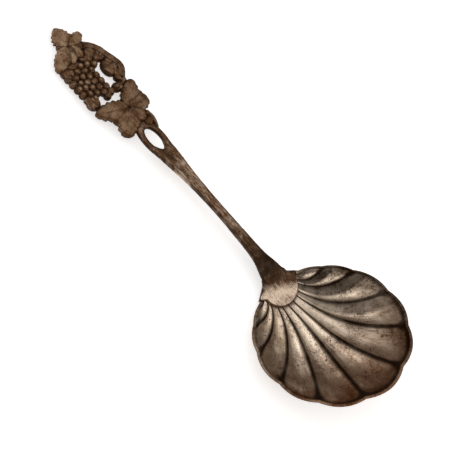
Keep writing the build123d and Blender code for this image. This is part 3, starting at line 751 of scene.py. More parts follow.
spots[LOOSE_GRAPE] += LOOSE_MOVE
number = np.arange(len(spots))
moved = spots + OFF_PLACE * np.stack((np.sin(12.99 * number), np.sin(78.23 * number + 2)), -1)
rise = GRAPE_RISE * (1 - RISE_CHANGE + RISE_CHANGE * np.sin(7.1 * number))
radius = GRAPE / 2 * (SIZE_MEAN + SIZE_CHANGE * np.sin(3.7 * number + 1))
latitude = np.linspace(0, np.pi / 2, LATITUDES)[:-1]
longitude = np.arange(LONGITUDES) * 2 * np.pi / LONGITUDES
ring_u = np.cos(latitude)[:, None] * np.cos(longitude)
ring_v = np.cos(latitude)[:, None] * np.sin(longitude)
ring_h = np.broadcast_to(np.sin(latitude)[:, None], ring_u.shape)
dome = np.concatenate((np.stack((ring_u, ring_v, ring_h), -1).reshape(-1, 3), [(0.0, 0.0, 1.0)]))
grid = np.arange((LATITUDES - 1) * LONGITUDES).reshape(LATITUDES - 1, LONGITUDES)
turned_grid = np.roll(grid, -1, axis=1)
dome_quads = np.stack((grid[:-1], turned_grid[:-1], turned_grid[1:], grid[1:]), -1).reshape(-1, 4)
dome_caps = np.stack((grid[-1], turned_grid[-1], np.full(LONGITUDES, len(dome) - 1)), -1)
grape_points = dome[None] * np.stack((radius, radius, rise), -1)[:, None]
grape_points = grape_points + np.concatenate((moved, np.full((len(spots), 1), PLATE)), 1)[:, None]
grape_u, grape_v, grape_height = grape_points.reshape(-1, 3).T
grape_faces = []
for first_point in number * len(dome):
    grape_faces += (dome_quads + first_point).tolist() + (dome_caps + first_point).tolist()
    grape_faces.append((grid[0, ::-1] + first_point).tolist())
add_piece(
    "grape_bunch", on_spine(grape_u, grape_v, grape_height), grape_faces, "grapes", "ornament_silver",
    patina=np.tile(np.clip(FOOT_DARK - FOOT_FADE * dome[:, 2], 0, 1), len(spots)),
    wear=np.tile(np.clip(CROWN_GAIN * dome[:, 2] - CROWN_FROM, 0, CROWN_MOST), len(spots)),
    across=grape_v, along=grape_u,
)

# %% [markdown]
# ## Branch and tendril
# Branch and tendril are half-round wires: a section carried along a path. The path is a heading that turns
# by a known amount along its length, summed up step by step. A curve with a bevel could do it too, but its
# round section would sink into the plate. Grooves along the wire stand for bark, dark inside and worn on top.

# %% Half-round wires
WIRE_STEP, WIRE_SIDES, GROOVES = 0.12, 25, 4
WIRE_DARK = (0.36, 0.65)  # least and most patina
SIDE_DARK, TOP_CLEAR, GROOVE_GAIN = 0.55, 0.7, 2.0  # patina beside a wire, less on top, more in a groove
TOP_WORN_FROM, TOP_WORN = 0.6, 0.2


def wire_path(start, heading, runs):
    """Middle line: the heading in degrees turns by the angle of each run (length, angle), then is summed."""
    turn = []
    for length, angle in runs:
        turn.append(np.full(max(int(round(length / WIRE_STEP)), 1), angle * WIRE_STEP / length))
    turn = np.radians(np.concatenate(turn))
    direction = np.radians(heading) + np.concatenate(((0.0,), np.cumsum(turn)))
    middle_direction = (direction[1:] + direction[:-1]) / 2
    u = start[0] + np.concatenate(((0.0,), np.cumsum(np.cos(middle_direction)))) * WIRE_STEP
    v = start[1] + np.concatenate(((0.0,), np.cumsum(np.sin(middle_direction)))) * WIRE_STEP
    return u, v, direction


def add_wire(name, path, width, height, groove_depth, stands_for):
    """Closed wire: half an ellipse across the path, flat below, with grooves along it like bark."""
    u, v, direction = path
    angle = np.linspace(0, np.pi, WIRE_SIDES)
    across = np.cos(angle)[None] * (width / 2)[:, None]
    bark = 1 - groove_depth * (0.5 - 0.5 * np.cos(2 * GROOVES * angle))
    lift = np.sin(angle)[None] * bark[None] * height[:, None]
    wire_u = u[:, None] - np.sin(direction)[:, None] * across
    wire_v = v[:, None] + np.cos(direction)[:, None] * across
    points = on_spine(wire_u, wire_v, PLATE + lift).reshape(-1, 3)
    start, end = np.arange(WIRE_SIDES), np.arange(WIRE_SIDES) + (len(u) - 1) * WIRE_SIDES
    faces = ring_faces(len(u), WIRE_SIDES).tolist() + [start[::-1].tolist(), end.tolist()]
    dark = np.clip(SIDE_DARK - TOP_CLEAR * np.sin(angle) + GROOVE_GAIN * (1 - bark), *WIRE_DARK)
    worn = np.clip(np.sin(angle) * bark - TOP_WORN_FROM, 0, TOP_WORN)
    add_piece(
        name, points, faces, stands_for, "ornament_silver",
        patina=np.tile(dark, len(u)), wear=np.tile(worn, len(u)), across=wire_v.ravel(), along=wire_u.ravel(),
    )


print("a wire has a section of", WIRE_SIDES, "points every", WIRE_STEP, "mm")

# %% [markdown]
# The branch bends along one side of the pierced end, hooks round at the fork and is swollen at three knots.
# The tendril is one short arc, thinner at both ends.

# %% Branch and tendril
BRANCH_WIDTH, BRANCH_RISE, BRANCH_GROOVE = 2.4, 1.3, 0.12
BRANCH_START, BRANCH_HEADING = (9.8, 3.7), 50.0
BRANCH_BEND, BRANCH_HOOK = (8.5, 36.0), (3.2, 58.0)  # radius and degrees
BRANCH_RUN, BRANCH_TAIL = 5.8, 2.2  # straight between them, and after the hook
BRANCH_ENDS, BRANCH_SWELL, KNOT_SWELL = 0.8, 0.1, 0.1  # shares of the thickness
EVEN_WIDTH = 0.1  # share of the width that does not swell
KNOTS = ((0.3, 0.05), (0.56, 0.06), (0.8, 0.07))  # share of the length, and how far each spreads
branch = wire_path(BRANCH_START, BRANCH_HEADING, (
    (BRANCH_BEND[0] * np.radians(BRANCH_BEND[1]), -BRANCH_BEND[1]),
    (BRANCH_RUN, 0.0),
    (BRANCH_HOOK[0] * np.radians(BRANCH_HOOK[1]), -BRANCH_HOOK[1]),
    (BRANCH_TAIL, 0.0),
))
share = np.linspace(0, 1, len(branch[0]))
knots = sum(bell(share - knot, spread) for knot, spread in KNOTS)
swollen = BRANCH_ENDS + BRANCH_SWELL * np.sin(np.pi * share) + KNOT_SWELL * knots
branch_width = BRANCH_WIDTH * (EVEN_WIDTH + (1 - EVEN_WIDTH) * swollen)
add_wire("vine_branch_wire", branch, branch_width, BRANCH_RISE * swollen, BRANCH_GROOVE, "vine_branch")

TENDRIL_WIDTH, TENDRIL_RISE, TENDRIL_GROOVE = 1.2, 0.9, 0.05
TENDRIL_START, TENDRIL_HEADING, TENDRIL_BEND = (42.8, 3.1), 145.0, (6.5, 46.0)
TENDRIL_ENDS = 0.75  # share of the thickness
tendril = wire_path(TENDRIL_START, TENDRIL_HEADING, (
    (TENDRIL_BEND[0] * np.radians(TENDRIL_BEND[1]), TENDRIL_BEND[1]),
))
share = np.linspace(0, 1, len(tendril[0]))
thinned = TENDRIL_ENDS + (1 - TENDRIL_ENDS) * np.sin(np.pi * share)
tendril_rise = TENDRIL_RISE * thinned**0.5
add_wire("tendril_wire", tendril, TENDRIL_WIDTH * thinned, tendril_rise, TENDRIL_GROOVE, "tendril")

# %% [markdown]
# ## The curled leaf
# A young leaf, still folded, swells out of the branch into the upper opening. It is one oval swelling, a
# quarter circle from its edge to its crown, with slanting folds along it. A low edge keeps its wall closed.

# %% Curled leaf
CURL, CURL_LONG, CURL_WIDE, CURL_TURN = (19.7, 4.5), 2.7, 1.75, -4.0
CURL_RISE, CURL_EDGE, CURL_REACH, CURL_STEP = 1.5, 0.15, 3.2, 0.1
FOLD_DEPTH, FOLD_SLANT, FOLD_START, FOLD_PITCH = 0.12, 0.35, 0.3, 1.15
CURL_MIDDLE, FOLD_DARK, CURL_DARK, CURL_WORN = 0.5, 2.0, 0.6, 0.2  # dark below the middle, worn above
curl_outline = partial(oval, centre=CURL, long=CURL_LONG, wide=CURL_WIDE, turn=CURL_TURN)
steps = np.arange(-CURL_REACH, CURL_REACH, CURL_STEP)
u, v, kept = cut_sheet(curl_outline, CURL[0] + steps, CURL[1] + steps)
inward = np.clip(-curl_outline(u, v) / CURL_WIDE, 0, 1)
folds = (v - CURL[1]) - FOLD_SLANT * (u - CURL[0]) + FOLD_START
folds = FOLD_DEPTH * np.cos(2 * np.pi * folds / FOLD_PITCH)
relief = np.sqrt(1 - (1 - inward) ** 2) * (1 - FOLD_DEPTH + folds)
sheet_piece(
    "curled_leaf_fold", u, v, kept, PLATE + CURL_EDGE + (CURL_RISE - CURL_EDGE) * relief, PLATE + 0 * u,
    "curled_leaf", "ornament_silver",
    patina=np.clip(CURL_MIDDLE - relief - FOLD_DARK * folds, 0, CURL_DARK),
    wear=np.clip(relief - CURL_MIDDLE, 0, CURL_WORN),
)

# %% [markdown]
# ## The handle
# Stem, loop, tongue and pierced end are one sheet. The stem's width and thickness come from a few measured
# places, joined smoothly. The pierced end is the backing of everything that lies on it, with round links
# between, so its two openings are simply what is left over.

# %% Outline of the handle
STEM_PLACES = np.array((-3.4, 0.0, 8.0, 18.0, 29.0, 39.0, 49.0, 53.0))
STEM_WIDTHS = np.array((6.2, 7.6, 4.5, 3.5, 3.3, 4.2, 6.2, 6.6))
STEM_HEIGHTS = np.array((0.8, 1.7, 2.3, 2.5, 2.4, 2.1, 1.8, 1.3))
STEM_LIFT = 0.15
EYE, EYE_HALF, RING_HALF = (45.3, 0.0), (4.1, 1.8), (8.5, 3.6)
TONGUE_RADIUS, TONGUE_RISE = 6.38, 1.1
TAPER_HALF_WIDTH, TAPER_OVERLAP, FILLET = 4.08, 0.3, 2.6
EAR = (1.9, 7.3)
LINKS = (  # u, v and radius
    (11.8, -3.4, 2.3), (12.3, 1.1, 2.1), (12.4, 3.6, 2.0), (13.1, -6.9, 1.7),
    (15.1, 5.1, 1.9), (25.5, -6.9, 2.2), (25.5, 5.6, 1.1), (25.9, 2.4, 1.6),
    (26.6, 3.9, 1.8), (37.8, 3.9, 1.1), (40.0, 2.7, 1.7), (9.2, 3.1, 1.5),
    (18.0, 6.2, 1.5), (20.4, 6.4, 1.6), (22.4, 5.7, 1.6), (23.7, 4.9, 1.4),
)
LEAF_MARGIN, HEART_DISC, BACKING = 0.12, 2.6, 0.2
GRAPE_BACKING = PITCH / 3**0.5 + 0.03  # closes the gap between three grapes


def smooth_between(s, places, values):
    """Smooth curve through values at places: cubic pieces whose slopes are those of their neighbours."""
    slopes = np.gradient(values, places)
    k = np.clip(np.searchsorted(places, s) - 1, 0, len(places) - 2)
    gap = places[k + 1] - places[k]
    t = np.clip((s - places[k]) / gap, 0, 1)
    start = values[k] * (1 + 2 * t) * (1 - t) ** 2 + slopes[k] * gap * t * (1 - t) ** 2
    return start + values[k + 1] * t**2 * (3 - 2 * t) + slopes[k + 1] * gap * t**2 * (t - 1)


def stem_edge(u, v):
    """Outline of the stem, from the tongue to the loop."""
    s = SPINE - u
    ends = np.maximum(STEM_PLACES[0] - s, s - STEM_PLACES[-1])
    return np.maximum(np.abs(v) - smooth_between(s, STEM_PLACES, STEM_WIDTHS) / 2, ends)


def tongue_edge(u, v):
    """Half-round tongue with its ears, and the taper behind them to the stem."""
    x = u - SPINE - ROOT_RUN
    half_disc = np.maximum(np.hypot(x + TAB_SETBACK, v) - TONGUE_RADIUS, -TAB_SETBACK - x)
    ears = oval(x, v, (-TAB_SETBACK, 0.0), *EAR)
    back = np.clip((x + ROOT_RUN) / (ROOT_RUN - TAB_SETBACK), 0, 1)
    taper = np.abs(v) - (TAPER_HALF_WIDTH + (TONGUE_RADIUS - TAPER_HALF_WIDTH) * back)
    taper = np.maximum(taper, np.maximum(-ROOT_RUN - x, x + TAB_SETBACK - TAPER_OVERLAP))
    return np.minimum(np.minimum(half_disc, ears), taper)


def along_wire(u, v, path, width):
    """Outline of a band along a path: distance to the nearest of its points, less half the width."""
    far = np.full(u.shape, np.inf)
    for a, b in zip(path[0][::4], path[1][::4]):
        far = np.minimum(far, np.hypot(u - a, v - b))
    return far - width / 2


def plate_edge(u, v):
    """Union of the backing of the leaves, grapes, links, branch, curled leaf and tendril."""
    behind_curl = oval(u, v, CURL, CURL_LONG + BACKING, CURL_WIDE + BACKING, CURL_TURN)
    edges = [behind_curl, oval(u, v, EYE, *RING_HALF)]
    for _, heart, lobes, webs, *_ in LEAVES:
        edges.append(np.hypot(u - heart[0], v - heart[1]) - HEART_DISC)
        edges.append(leaf_outline(u, v, heart, lobes + webs) + LEAF_MARGIN)
    for a, b in spots:
        edges.append(np.hypot(u - a, v - b) - GRAPE_BACKING)
    for a, b, size in LINKS:
        edges.append(np.hypot(u - a, v - b) - size)
    edges.append(along_wire(u, v, branch, BRANCH_WIDTH + 2 * BACKING))
    edges.append(along_wire(u, v, tendril, TENDRIL_WIDTH + 2 * BACKING))
    return np.min(edges, axis=0)


def blend_of(one, other, run):
    """Union of two outlines with a fillet of about that run where they meet."""
    overlap = np.clip(1 - np.abs(one - other) / run, 0, 1)
    return np.minimum(one, other) - run / 4 * overlap**2


def handle_outline(u, v):
    """The whole handle, less its eye."""
    forged = blend_of(stem_edge(u, v), tongue_edge(u, v), FILLET)
    whole = np.minimum(forged, plate_edge(u, v))
    return np.maximum(whole, -oval(u, v, EYE, *EYE_HALF))


print("stem", STEM_WIDTHS.min(), "mm wide at its narrowest, plate with", len(LINKS), "links")

# %% [markdown]
# The whole handle is cut from one grid. How deep a point lies inside the stem, the plate and the tongue then
# decides its height, the rounding of its edge and its tarnish.

# %% Grid of the handle
HANDLE_STEP = 0.18
BEFORE_TIP, PAST_SPINE, HALF_SHEET = 0.6, 9.6, 10.4
handle_u = np.arange(-BEFORE_TIP, SPINE + PAST_SPINE, HANDLE_STEP)
handle_v = np.arange(-HALF_SHEET, HALF_SHEET, HANDLE_STEP)
u, v, kept = cut_sheet(handle_outline, handle_u, handle_v)
s = SPINE - u
depth = -handle_outline(u, v)
stem_depth, plate_depth, tongue_depth = -stem_edge(u, v), -plate_edge(u, v), -tongue_edge(u, v)
print("handle grid", u.shape)

# %% [markdown]
# Two raised strands leave the loop of the eye and run out on the stem with a groove between them. At the
# other end the stem rises out of the tongue without a step, because the smith drew both out of one bar. So
# near the tongue the two heights are laid one over the other and then smoothed, by letting every point take
# the mean of its neighbours many times, before the edge is rounded.

# %% Heights of the handle
STRAND_RISE, STRAND_PLACE, STRAND_WIDTH = 0.3, 1.75, 0.62
GROOVE_DEPTH, GROOVE_WIDTH = 0.2, 0.6
STRAND_FROM, STRAND_TO = (47.0, 51.0), (66.0, 52.0)  # u where the strands come in and where they run out
FLARE_TO_STEM = (5.0, 11.0)  # from the root
STEM_ROUND, FLARE_ROUND, PLATE_ROUND = 0.4, 0.5, 0.35  # the stem's is a share of its thickness, the others mm
SMOOTHINGS, SMOOTHED_TO = 90, 14.0
LOOP_RISE, LOOP_REACH, LOOP_HALF_WIDTH = 0.35, 8.0, 3.7
FLARE_INSET, EDGE_EASE, LOOP_EASE = 0.3, 0.5, 0.9  # depths inside the edge
thick = smooth_between(s, STEM_PLACES, STEM_HEIGHTS)
fade = ramp(u, *STRAND_FROM) * ramp(u, *STRAND_TO)
strand = STRAND_RISE * bell(np.abs(v) - STRAND_PLACE, STRAND_WIDTH) - GROOVE_DEPTH * bell(v, GROOVE_WIDTH)
stem_top = STEM_LIFT + thick - rounding(stem_depth, STEM_ROUND * thick)
stem_top = stem_top + strand * fade * ramp(stem_depth, 0, EDGE_EASE)

flare_top = np.maximum(np.where(stem_depth > FLARE_INSET, STEM_LIFT + thick, TONGUE_RISE), TONGUE_RISE)
inside = (depth > 0).astype(float)
smoothed = (s < SMOOTHED_TO)[:, :1]
for _ in range(SMOOTHINGS):
    around_sum = np.zeros_like(flare_top)
    around_count = np.zeros_like(flare_top)
    for axis, way in ((0, 1), (0, -1), (1, 1), (1, -1)):
        around_sum += np.roll(flare_top * inside, way, axis)
        around_count += np.roll(inside, way, axis)
    mean = around_sum / np.maximum(around_count, 1)
    flare_top = np.where((around_count > 0) & smoothed, mean, flare_top)
flare_top = flare_top - rounding(depth, FLARE_ROUND)
to_stem = ramp(s, *FLARE_TO_STEM)
to_stem = to_stem**2 * (3 - 2 * to_stem)
forged_top = flare_top + (stem_top - flare_top) * to_stem

loop = ramp(np.abs(u - EYE[0]), LOOP_REACH, 0) * (np.abs(v) < LOOP_HALF_WIDTH)
plate_top = PLATE - rounding(depth, PLATE_ROUND) + LOOP_RISE * loop * ramp(depth, 0, LOOP_EASE)
print("stem heights", thick.min().round(2), "to", thick.max().round(2))

# %% [markdown]
# The pierced end is chased all over. Low pads, like young leaves, lie between the big ones, small beads sit
# on them, and the ground between the grapes is raised. Under a leaf the plate stays below the leaf's
# drooping edge.

# %% Chasing of the pierced end
PAD_RISE, GROUND_RISE, BEAD_RISE, GROUND_EDGE = 0.75, 0.8, 0.6, 0.4
BEADS = (  # u, v and radius
    (11.6, 4.3, 0.6), (13.3, 5.3, 0.75), (15.2, 5.3, 0.7),
    (14.2, 3.4, 0.6), (25.8, 2.3, 0.95), (26.2, 4.3, 0.7),
)
UNDER_LEAF, LEAF_SEAT = 0.12, 0.3


def low_dome(u, v, place):
    """Half a ball of height 1 over a disc given by its place and radius."""
    away = np.clip(np.hypot(u - place[0], v - place[1]) / place[2], 0, 1)
    return np.sqrt(1 - away**2)


chased = PAD_RISE * np.max([low_dome(u, v, link) for link in LINKS], axis=0)
bunch_depth = np.max([GRAPE / 2 - np.hypot(u - a, v - b) for a, b in spots], axis=0)
on_bunch = ramp(bunch_depth, -GROUND_EDGE, 0)
chased = chased * (1 - on_bunch) + GROUND_RISE * on_bunch
for bead in BEADS:
    chased = chased + BEAD_RISE * bead[2] * low_dome(u, v, bead)
plate_top = plate_top + chased * ramp(depth, 0, EDGE_EASE)
for _, heart, lobes, webs, *_ in LEAVES:
    leaf_depth = -leaf_outline(u, v, heart, lobes + webs)
    drooping = LEAF_EDGE - rounding(np.maximum(leaf_depth, 0), LEAF_DROOP)
    under = PLATE + np.minimum(drooping, LEAF_SEAT) - UNDER_LEAF
    plate_top = np.where(leaf_depth > 0, np.minimum(plate_top, under), plate_top)
print("chasing up to", chased.max().round(2), "mm high")

# %% [markdown]
# Stem, tongue and plate now run into each other. The upper side takes the highest of them by a soft maximum,
# the logarithm of a sum of exponentials, which rounds the line where they meet. The lower side takes the
# lowest, and stays below the upper one everywhere.

# %% Upper and lower side of the handle
SOFT = 0.12  # mm over which two heights run into each other
NOWHERE, HEM = 9.0, -0.05
WITHIN = (-3, 4)  # keeps the exponentials in range
STEM_END, LEAST_HANDLE, LOW_ROUND, REST_LOW = 54.0, 0.1, 0.45, 0.35
on_forged = np.maximum(stem_depth, np.where(s < SMOOTHED_TO, depth, -1.0)) > HEM
on_plate = plate_depth > HEM
tops = (np.where(on_forged & (s < STEM_END), forged_top, -NOWHERE), np.where(on_plate, plate_top, -NOWHERE))
top = SOFT * np.log(sum(np.exp(np.clip(layer, *WITHIN) / SOFT) for layer in tops))
low = np.min((
    np.where(stem_depth > HEM, STEM_LIFT + rounding(stem_depth, STEM_ROUND * thick), NOWHERE),
    np.where(on_plate, rounding(depth, LOW_ROUND), NOWHERE),
    np.where(tongue_depth > HEM, 0.0, NOWHERE),
), axis=0)
low = np.where(low < NOWHERE, low, REST_LOW)
low = np.minimum(low, top - LEAST_HANDLE)
print("handle up to", (top - low).max().round(2), "mm thick")

# %% [markdown]
# The handle is dark in the groove and on the ground under the ornament, where tarnish sits, and darker where
# it meets the bowl. Its rounded edges are painted dark as shade. The middle of the stem is a little brighter,
# a painted highlight runs as one bright streak along its side, and the tongue is bright below a slanting
# line.

# %% Tarnish, painted shade and painted highlight of the handle
# The groove and the ground get tarnish, the edges painted shade; the neck darkens towards the bowl.
GROOVE_DARK, GROUND_DARK, EDGE_PAINTED_SHADE, NECK_DARK = 0.35, 0.32, 0.7, 0.85
GROOVE_LINE, EDGE_WIDTH, GROUND_END = 0.5, 0.55, 40.0
GROUND_FADE, NECK_LEAST = 0.5, 0.3  # patina lost for each mm of height, and kept at the foot of the neck
NECK, NECK_FOOT = (20.0, 6.0), (-4.0, 3.0)  # from the root: the neck darkens to the bowl and eases there
BRIGHT_TONGUE_SLANT, BRIGHT_TONGUE_EDGE = 0.6, (-1.9, 1.9)  # the bright part of the tongue ends along a slanting line
BRIGHT_TONGUE_ROOT = (2.0, 0.0)
MIDDLE_BRIGHTER, MIDDLE_BRIGHTER_FROM, MIDDLE_BRIGHTER_TO = 0.15, (8.0, 18.0), (52.0, 48.0)
# Painted highlight along the side of the stem: its brightness, and its place and reach along and across.
HIGHLIGHT_STREAK = 0.8
STREAK_PLACE, STREAK_REACH = (59.8, -1.8), (3.6, 0.5)
at_streak = bell(u - STREAK_PLACE[0], STREAK_REACH[0], 4)
groove = GROOVE_DARK * bell(v, GROOVE_LINE) * fade
under_ornament = np.clip(GROUND_DARK - GROUND_FADE * chased, 0, GROUND_DARK) * (on_plate & (u < GROUND_END))
# Painted shade along the rounded edges, left off on one side where the painted highlight runs.
edge_painted_shade = EDGE_PAINTED_SHADE * ramp(depth, EDGE_WIDTH, 0) * (1 - at_streak * (v < 0))
near_bowl = NECK_DARK * ramp(s, *NECK) * np.maximum(ramp(s, *NECK_FOOT), NECK_LEAST)
# The tongue is brighter below a slanting line, and keeps no dark there.
bright_tongue = ramp(u - SPINE - ROOT_RUN - BRIGHT_TONGUE_SLANT * v, *BRIGHT_TONGUE_EDGE) * ramp(s, *BRIGHT_TONGUE_ROOT)
brighter_middle = MIDDLE_BRIGHTER * ramp(s, *MIDDLE_BRIGHTER_FROM) * ramp(s, *MIDDLE_BRIGHTER_TO)
# Painted highlight: one bright streak along the side of the stem.
painted_highlight_streak = HIGHLIGHT_STREAK * bell(v - STREAK_PLACE[1], STREAK_REACH[1]) * at_streak
sheet_piece(
    "forged_handle", u, v, kept, top, low, "handle", "handle_silver",
    patina=np.max((groove, under_ornament, edge_painted_shade, near_bowl), axis=0) * (1 - bright_tongue),
    wear=np.max((bright_tongue, brighter_middle, painted_highlight_streak), axis=0),
)

# %% [markdown]
# ## Finishes
# Old silver is a grey-white metal with a brown film of sulphide. Where hands and sugar rub it the film is
# thin and the metal shines; in the recesses it is black and dull. Painted shade and painted highlights are
# laid on in the same way, as more black and more bright metal. An image could paint this, but the stored
# numbers already say where each happens, so the finish is worked out from them. One function adds a node,
# and colours are written as sRGB and turned to linear once.

# %% Colours and nodes
def linear(code):
    """Linear colour of an sRGB hex value."""
    part = np.array([int(code[k : k + 2], 16) for k in (1, 3, 5)]) / 255
    return (*np.where(part <= 0.04045, part / 12.92, ((part + 0.055) / 1.055) ** 2.4), 1.0)


def add_node(tree, kind, settings=None, output=0, **inputs):
    """Adds a node and gives one output; inputs go by name, with _ for a space, or by number as i0, i1."""
    node = tree.nodes.new("ShaderNode" + kind)
    for key, value in (settings or {}).items():
        setattr(node, key, value)
    for key, value in inputs.items():
        numbered = key[0] == "i" and key[1:].isdigit()
        socket = node.inputs[int(key[1:]) if numbered else key.replace("_", " ")]
        if isinstance(value, bpy.types.NodeSocket):
            tree.links.new(value, socket)
        else:
            socket.default_value = value
    return node.outputs[output] if node.outputs else None


def new_material(name):
    """Empty material with its shader."""
    material = bpy.data.materials.new(name)
    material.use_nodes = True
    tree = material.node_tree
    tree.nodes.clear()
    surface = add_node(tree, "BsdfPrincipled")
    add_node(tree, "OutputMaterial", Surface=surface)
    return material, tree, surface.node


def per_mm(size):
    """Scale of a pattern whose features are about that many millimetres across."""
    return 1.0 / (size * MM)


SUMS = ("ADD", "SUBTRACT", "MULTIPLY", "DIVIDE", "MULTIPLY_ADD", "MAXIMUM", "ABSOLUTE")
ADD, SUBTRACT, MULTIPLY, DIVIDE, MULTIPLY_ADD, MAXIMUM, ABSOLUTE = ({"operation": word} for word in SUMS)
CLAMPED, SMOOTH = {"use_clamp": True}, {"interpolation_type": "SMOOTHSTEP"}
COLOURS, NUMBERS = {"data_type": "RGBA"}, {"data_type": "FLOAT"}
print("a middle grey, linear:", round(linear("#808080")[0], 3))

# %% [markdown]
# The finish is one metal whose colour and roughness follow the patina and painted shade and the wear and
# painted sheen of each point, broken up by blotches, specks, a grain along the piece and thin wandering
# scratches. A metal needs no more than that: its gloss comes from the roughness, and a slight bump lets
# scratches and specks catch the light.

# %% Tarnished silver
STORED = ("patina", "wear", "amber", "across", "along")
UNEVEN = 0.8  # how much the blotches thicken or thin the film
SCRAWL_MM, SCRAWL_LEVEL = 2.4, 0.028  # about the distance of two wandering scratches, and half a line's noise
GATHER = 0.35  # how much specks gather in the blotches
SPECK_FROM, SPECK_TO, SPECK_BLACK = 0.74, 0.82, 0.85  # noise where a speck starts and is full, its black
DEEP_FROM, DEEP_TO, DEEP_SHARE, DEEP_MOST = 0.6, 0.72, 0.6, 0.5  # the same for deep lines of the grain
PATCH_FROM, PATCH_TO = 0.42, 0.58  # noise of the blotches where wandering scratches come in
AMBER_UNEVEN, RECESS_UNEVEN = 0.6, 0.25  # what the blotches do to the amber and to the recesses
BUMP, BUMP_MM = 0.3, 0.1
DULL = 0.62  # roughness of the black recesses and of the painted shade
SATIN = 0.18  # what the film adds to the roughness of bright metal


def tarnished_silver(name, bright, film, black, amber, blotch_mm, speck_mm, grain_mm, shine, scratch, scrawl):
    """Silver under a brown film, bright where wear and painted sheen is 1, black where patina and painted
    shade is 1.
    """
    material, tree, shader = new_material(name)
    add = partial(add_node, tree)
    place = add("TexCoord", output="Object")
    # The stored numbers; the patina and the wear also carry painted shade and a painted highlight.
    patina, wear, turned, across, along = (add("Attribute", {"attribute_name": key}, "Fac") for key in STORED)
    # Three patterns: broad blotches, round specks and a fine grain that runs along the piece. The scratches
    # of cleaning are a few hundredths of a mm wide, too fine to show, so the grain is drawn coarser.
    blotch = add("TexNoise", Vector=place, Scale=per_mm(blotch_mm), Detail=6.0, Roughness=0.65)
    speck = add("TexNoise", Vector=place, Scale=per_mm(speck_mm), Detail=4.0, Roughness=0.6, Distortion=1.2)
    fine = add("Math", DIVIDE, i0=across, i1=grain_mm[0])
    slow = add("Math", DIVIDE, i0=along, i1=grain_mm[1])
    lines = add("CombineXYZ", X=fine, Y=slow)
    grain = add("TexNoise", Vector=lines, Scale=1.0, Detail=4.0, Roughness=0.6)
    # The film covers what is neither worn nor painted with a highlight, and carries painted shade too; it is
    # broken up by the blotches and the grain.
    uneven = add("Math", MULTIPLY_ADD, i0=blotch, i1=2 * UNEVEN, i2=-UNEVEN)
    streaky = add("Math", MULTIPLY_ADD, i0=grain, i1=2 * scratch, i2=-scratch)
    cover = add("Math", SUBTRACT, i0=1.0, i1=wear)
    cover = add("Math", ADD, i0=cover, i1=uneven)
    cover = add("Math", ADD | CLAMPED, i0=cover, i1=streaky)
    metal = add("Mix", COLOURS, 2, i0=cover, i6=linear(bright), i7=linear(film))
    turned = add("Math", MULTIPLY_ADD | CLAMPED, i0=uneven, i1=AMBER_UNEVEN, i2=turned)
    metal = add("Mix", COLOURS, 2, i0=turned, i6=metal, i7=linear(amber))
    # Black specks gather where the film is thick, and the deepest lines of the grain are dark.
    gathered = add("Math", MULTIPLY_ADD, i0=blotch, i1=GATHER, i2=speck)
    specks = add(
        "MapRange", SMOOTH, Value=gathered, From_Min=SPECK_FROM, From_Max=SPECK_TO, To_Max=SPECK_BLACK
    )
    deepest = min(DEEP_SHARE * scratch, DEEP_MOST)
    dark_lines = add("MapRange", Value=grain, From_Min=DEEP_FROM, From_Max=DEEP_TO, To_Max=deepest)
    marks = add("Math", MAXIMUM, i0=specks, i1=dark_lines)
    # Thin dark scratches wander over the metal in patches: the level line of a noise, about 0.1 mm wide.
    wander = add("TexNoise", Vector=place, Scale=per_mm(SCRAWL_MM), Detail=3.0, Distortion=1.0)
    centred = add("Math", SUBTRACT, i0=wander, i1=0.5)
    off_line = add("Math", ABSOLUTE, i0=centred)
    patches = add("MapRange", Value=blotch, From_Min=PATCH_FROM, From_Max=PATCH_TO, To_Max=scrawl)
    scrawls = add("MapRange", Value=off_line, From_Max=SCRAWL_LEVEL, To_Min=1.0, To_Max=0.0)
    scrawls = add("Math", MULTIPLY, i0=scrawls, i1=patches)
    marks = add("Math", MAXIMUM, i0=marks, i1=scrawls)
    metal = add("Mix", COLOURS, 2, i0=marks, i6=metal, i7=linear(black))
    # The black of the patina and of the painted shade is laid over the metal, broken up by the blotches.
    broken = add("Math", MULTIPLY_ADD, i0=uneven, i1=RECESS_UNEVEN, i2=patina)
    recess_and_shade = add("Clamp", Value=broken)
    colour = add("Mix", COLOURS, 2, i0=recess_and_shade, i6=metal, i7=linear(black))
    # Bright metal is smooth, film is satin, and the black recesses and the painted shade are dull.
    satin = add("MapRange", Value=cover, To_Min=shine, To_Max=shine + SATIN)
    rough = add("Mix", NUMBERS, i0=recess_and_shade, i2=satin, i3=DULL)
    height = add("Math", SUBTRACT, i0=streaky, i1=marks)
    bump = add("Bump", Strength=BUMP, Distance=BUMP_MM * MM, Height=height)
    shader.inputs["Metallic"].default_value = 1.0
    tree.links.new(colour, shader.inputs["Base Color"])
    tree.links.new(rough, shader.inputs["Roughness"])
    tree.links.new(bump, shader.inputs["Normal"])
    return material


print("the finish reads", ", ".join(STORED))

# %% [markdown]
# Three finishes come from it. The bowl is worn bright, with specks and wandering scratches. The handle is
# scratched along its length by years of cleaning. The ornament, which no cloth reaches, is an even brown.

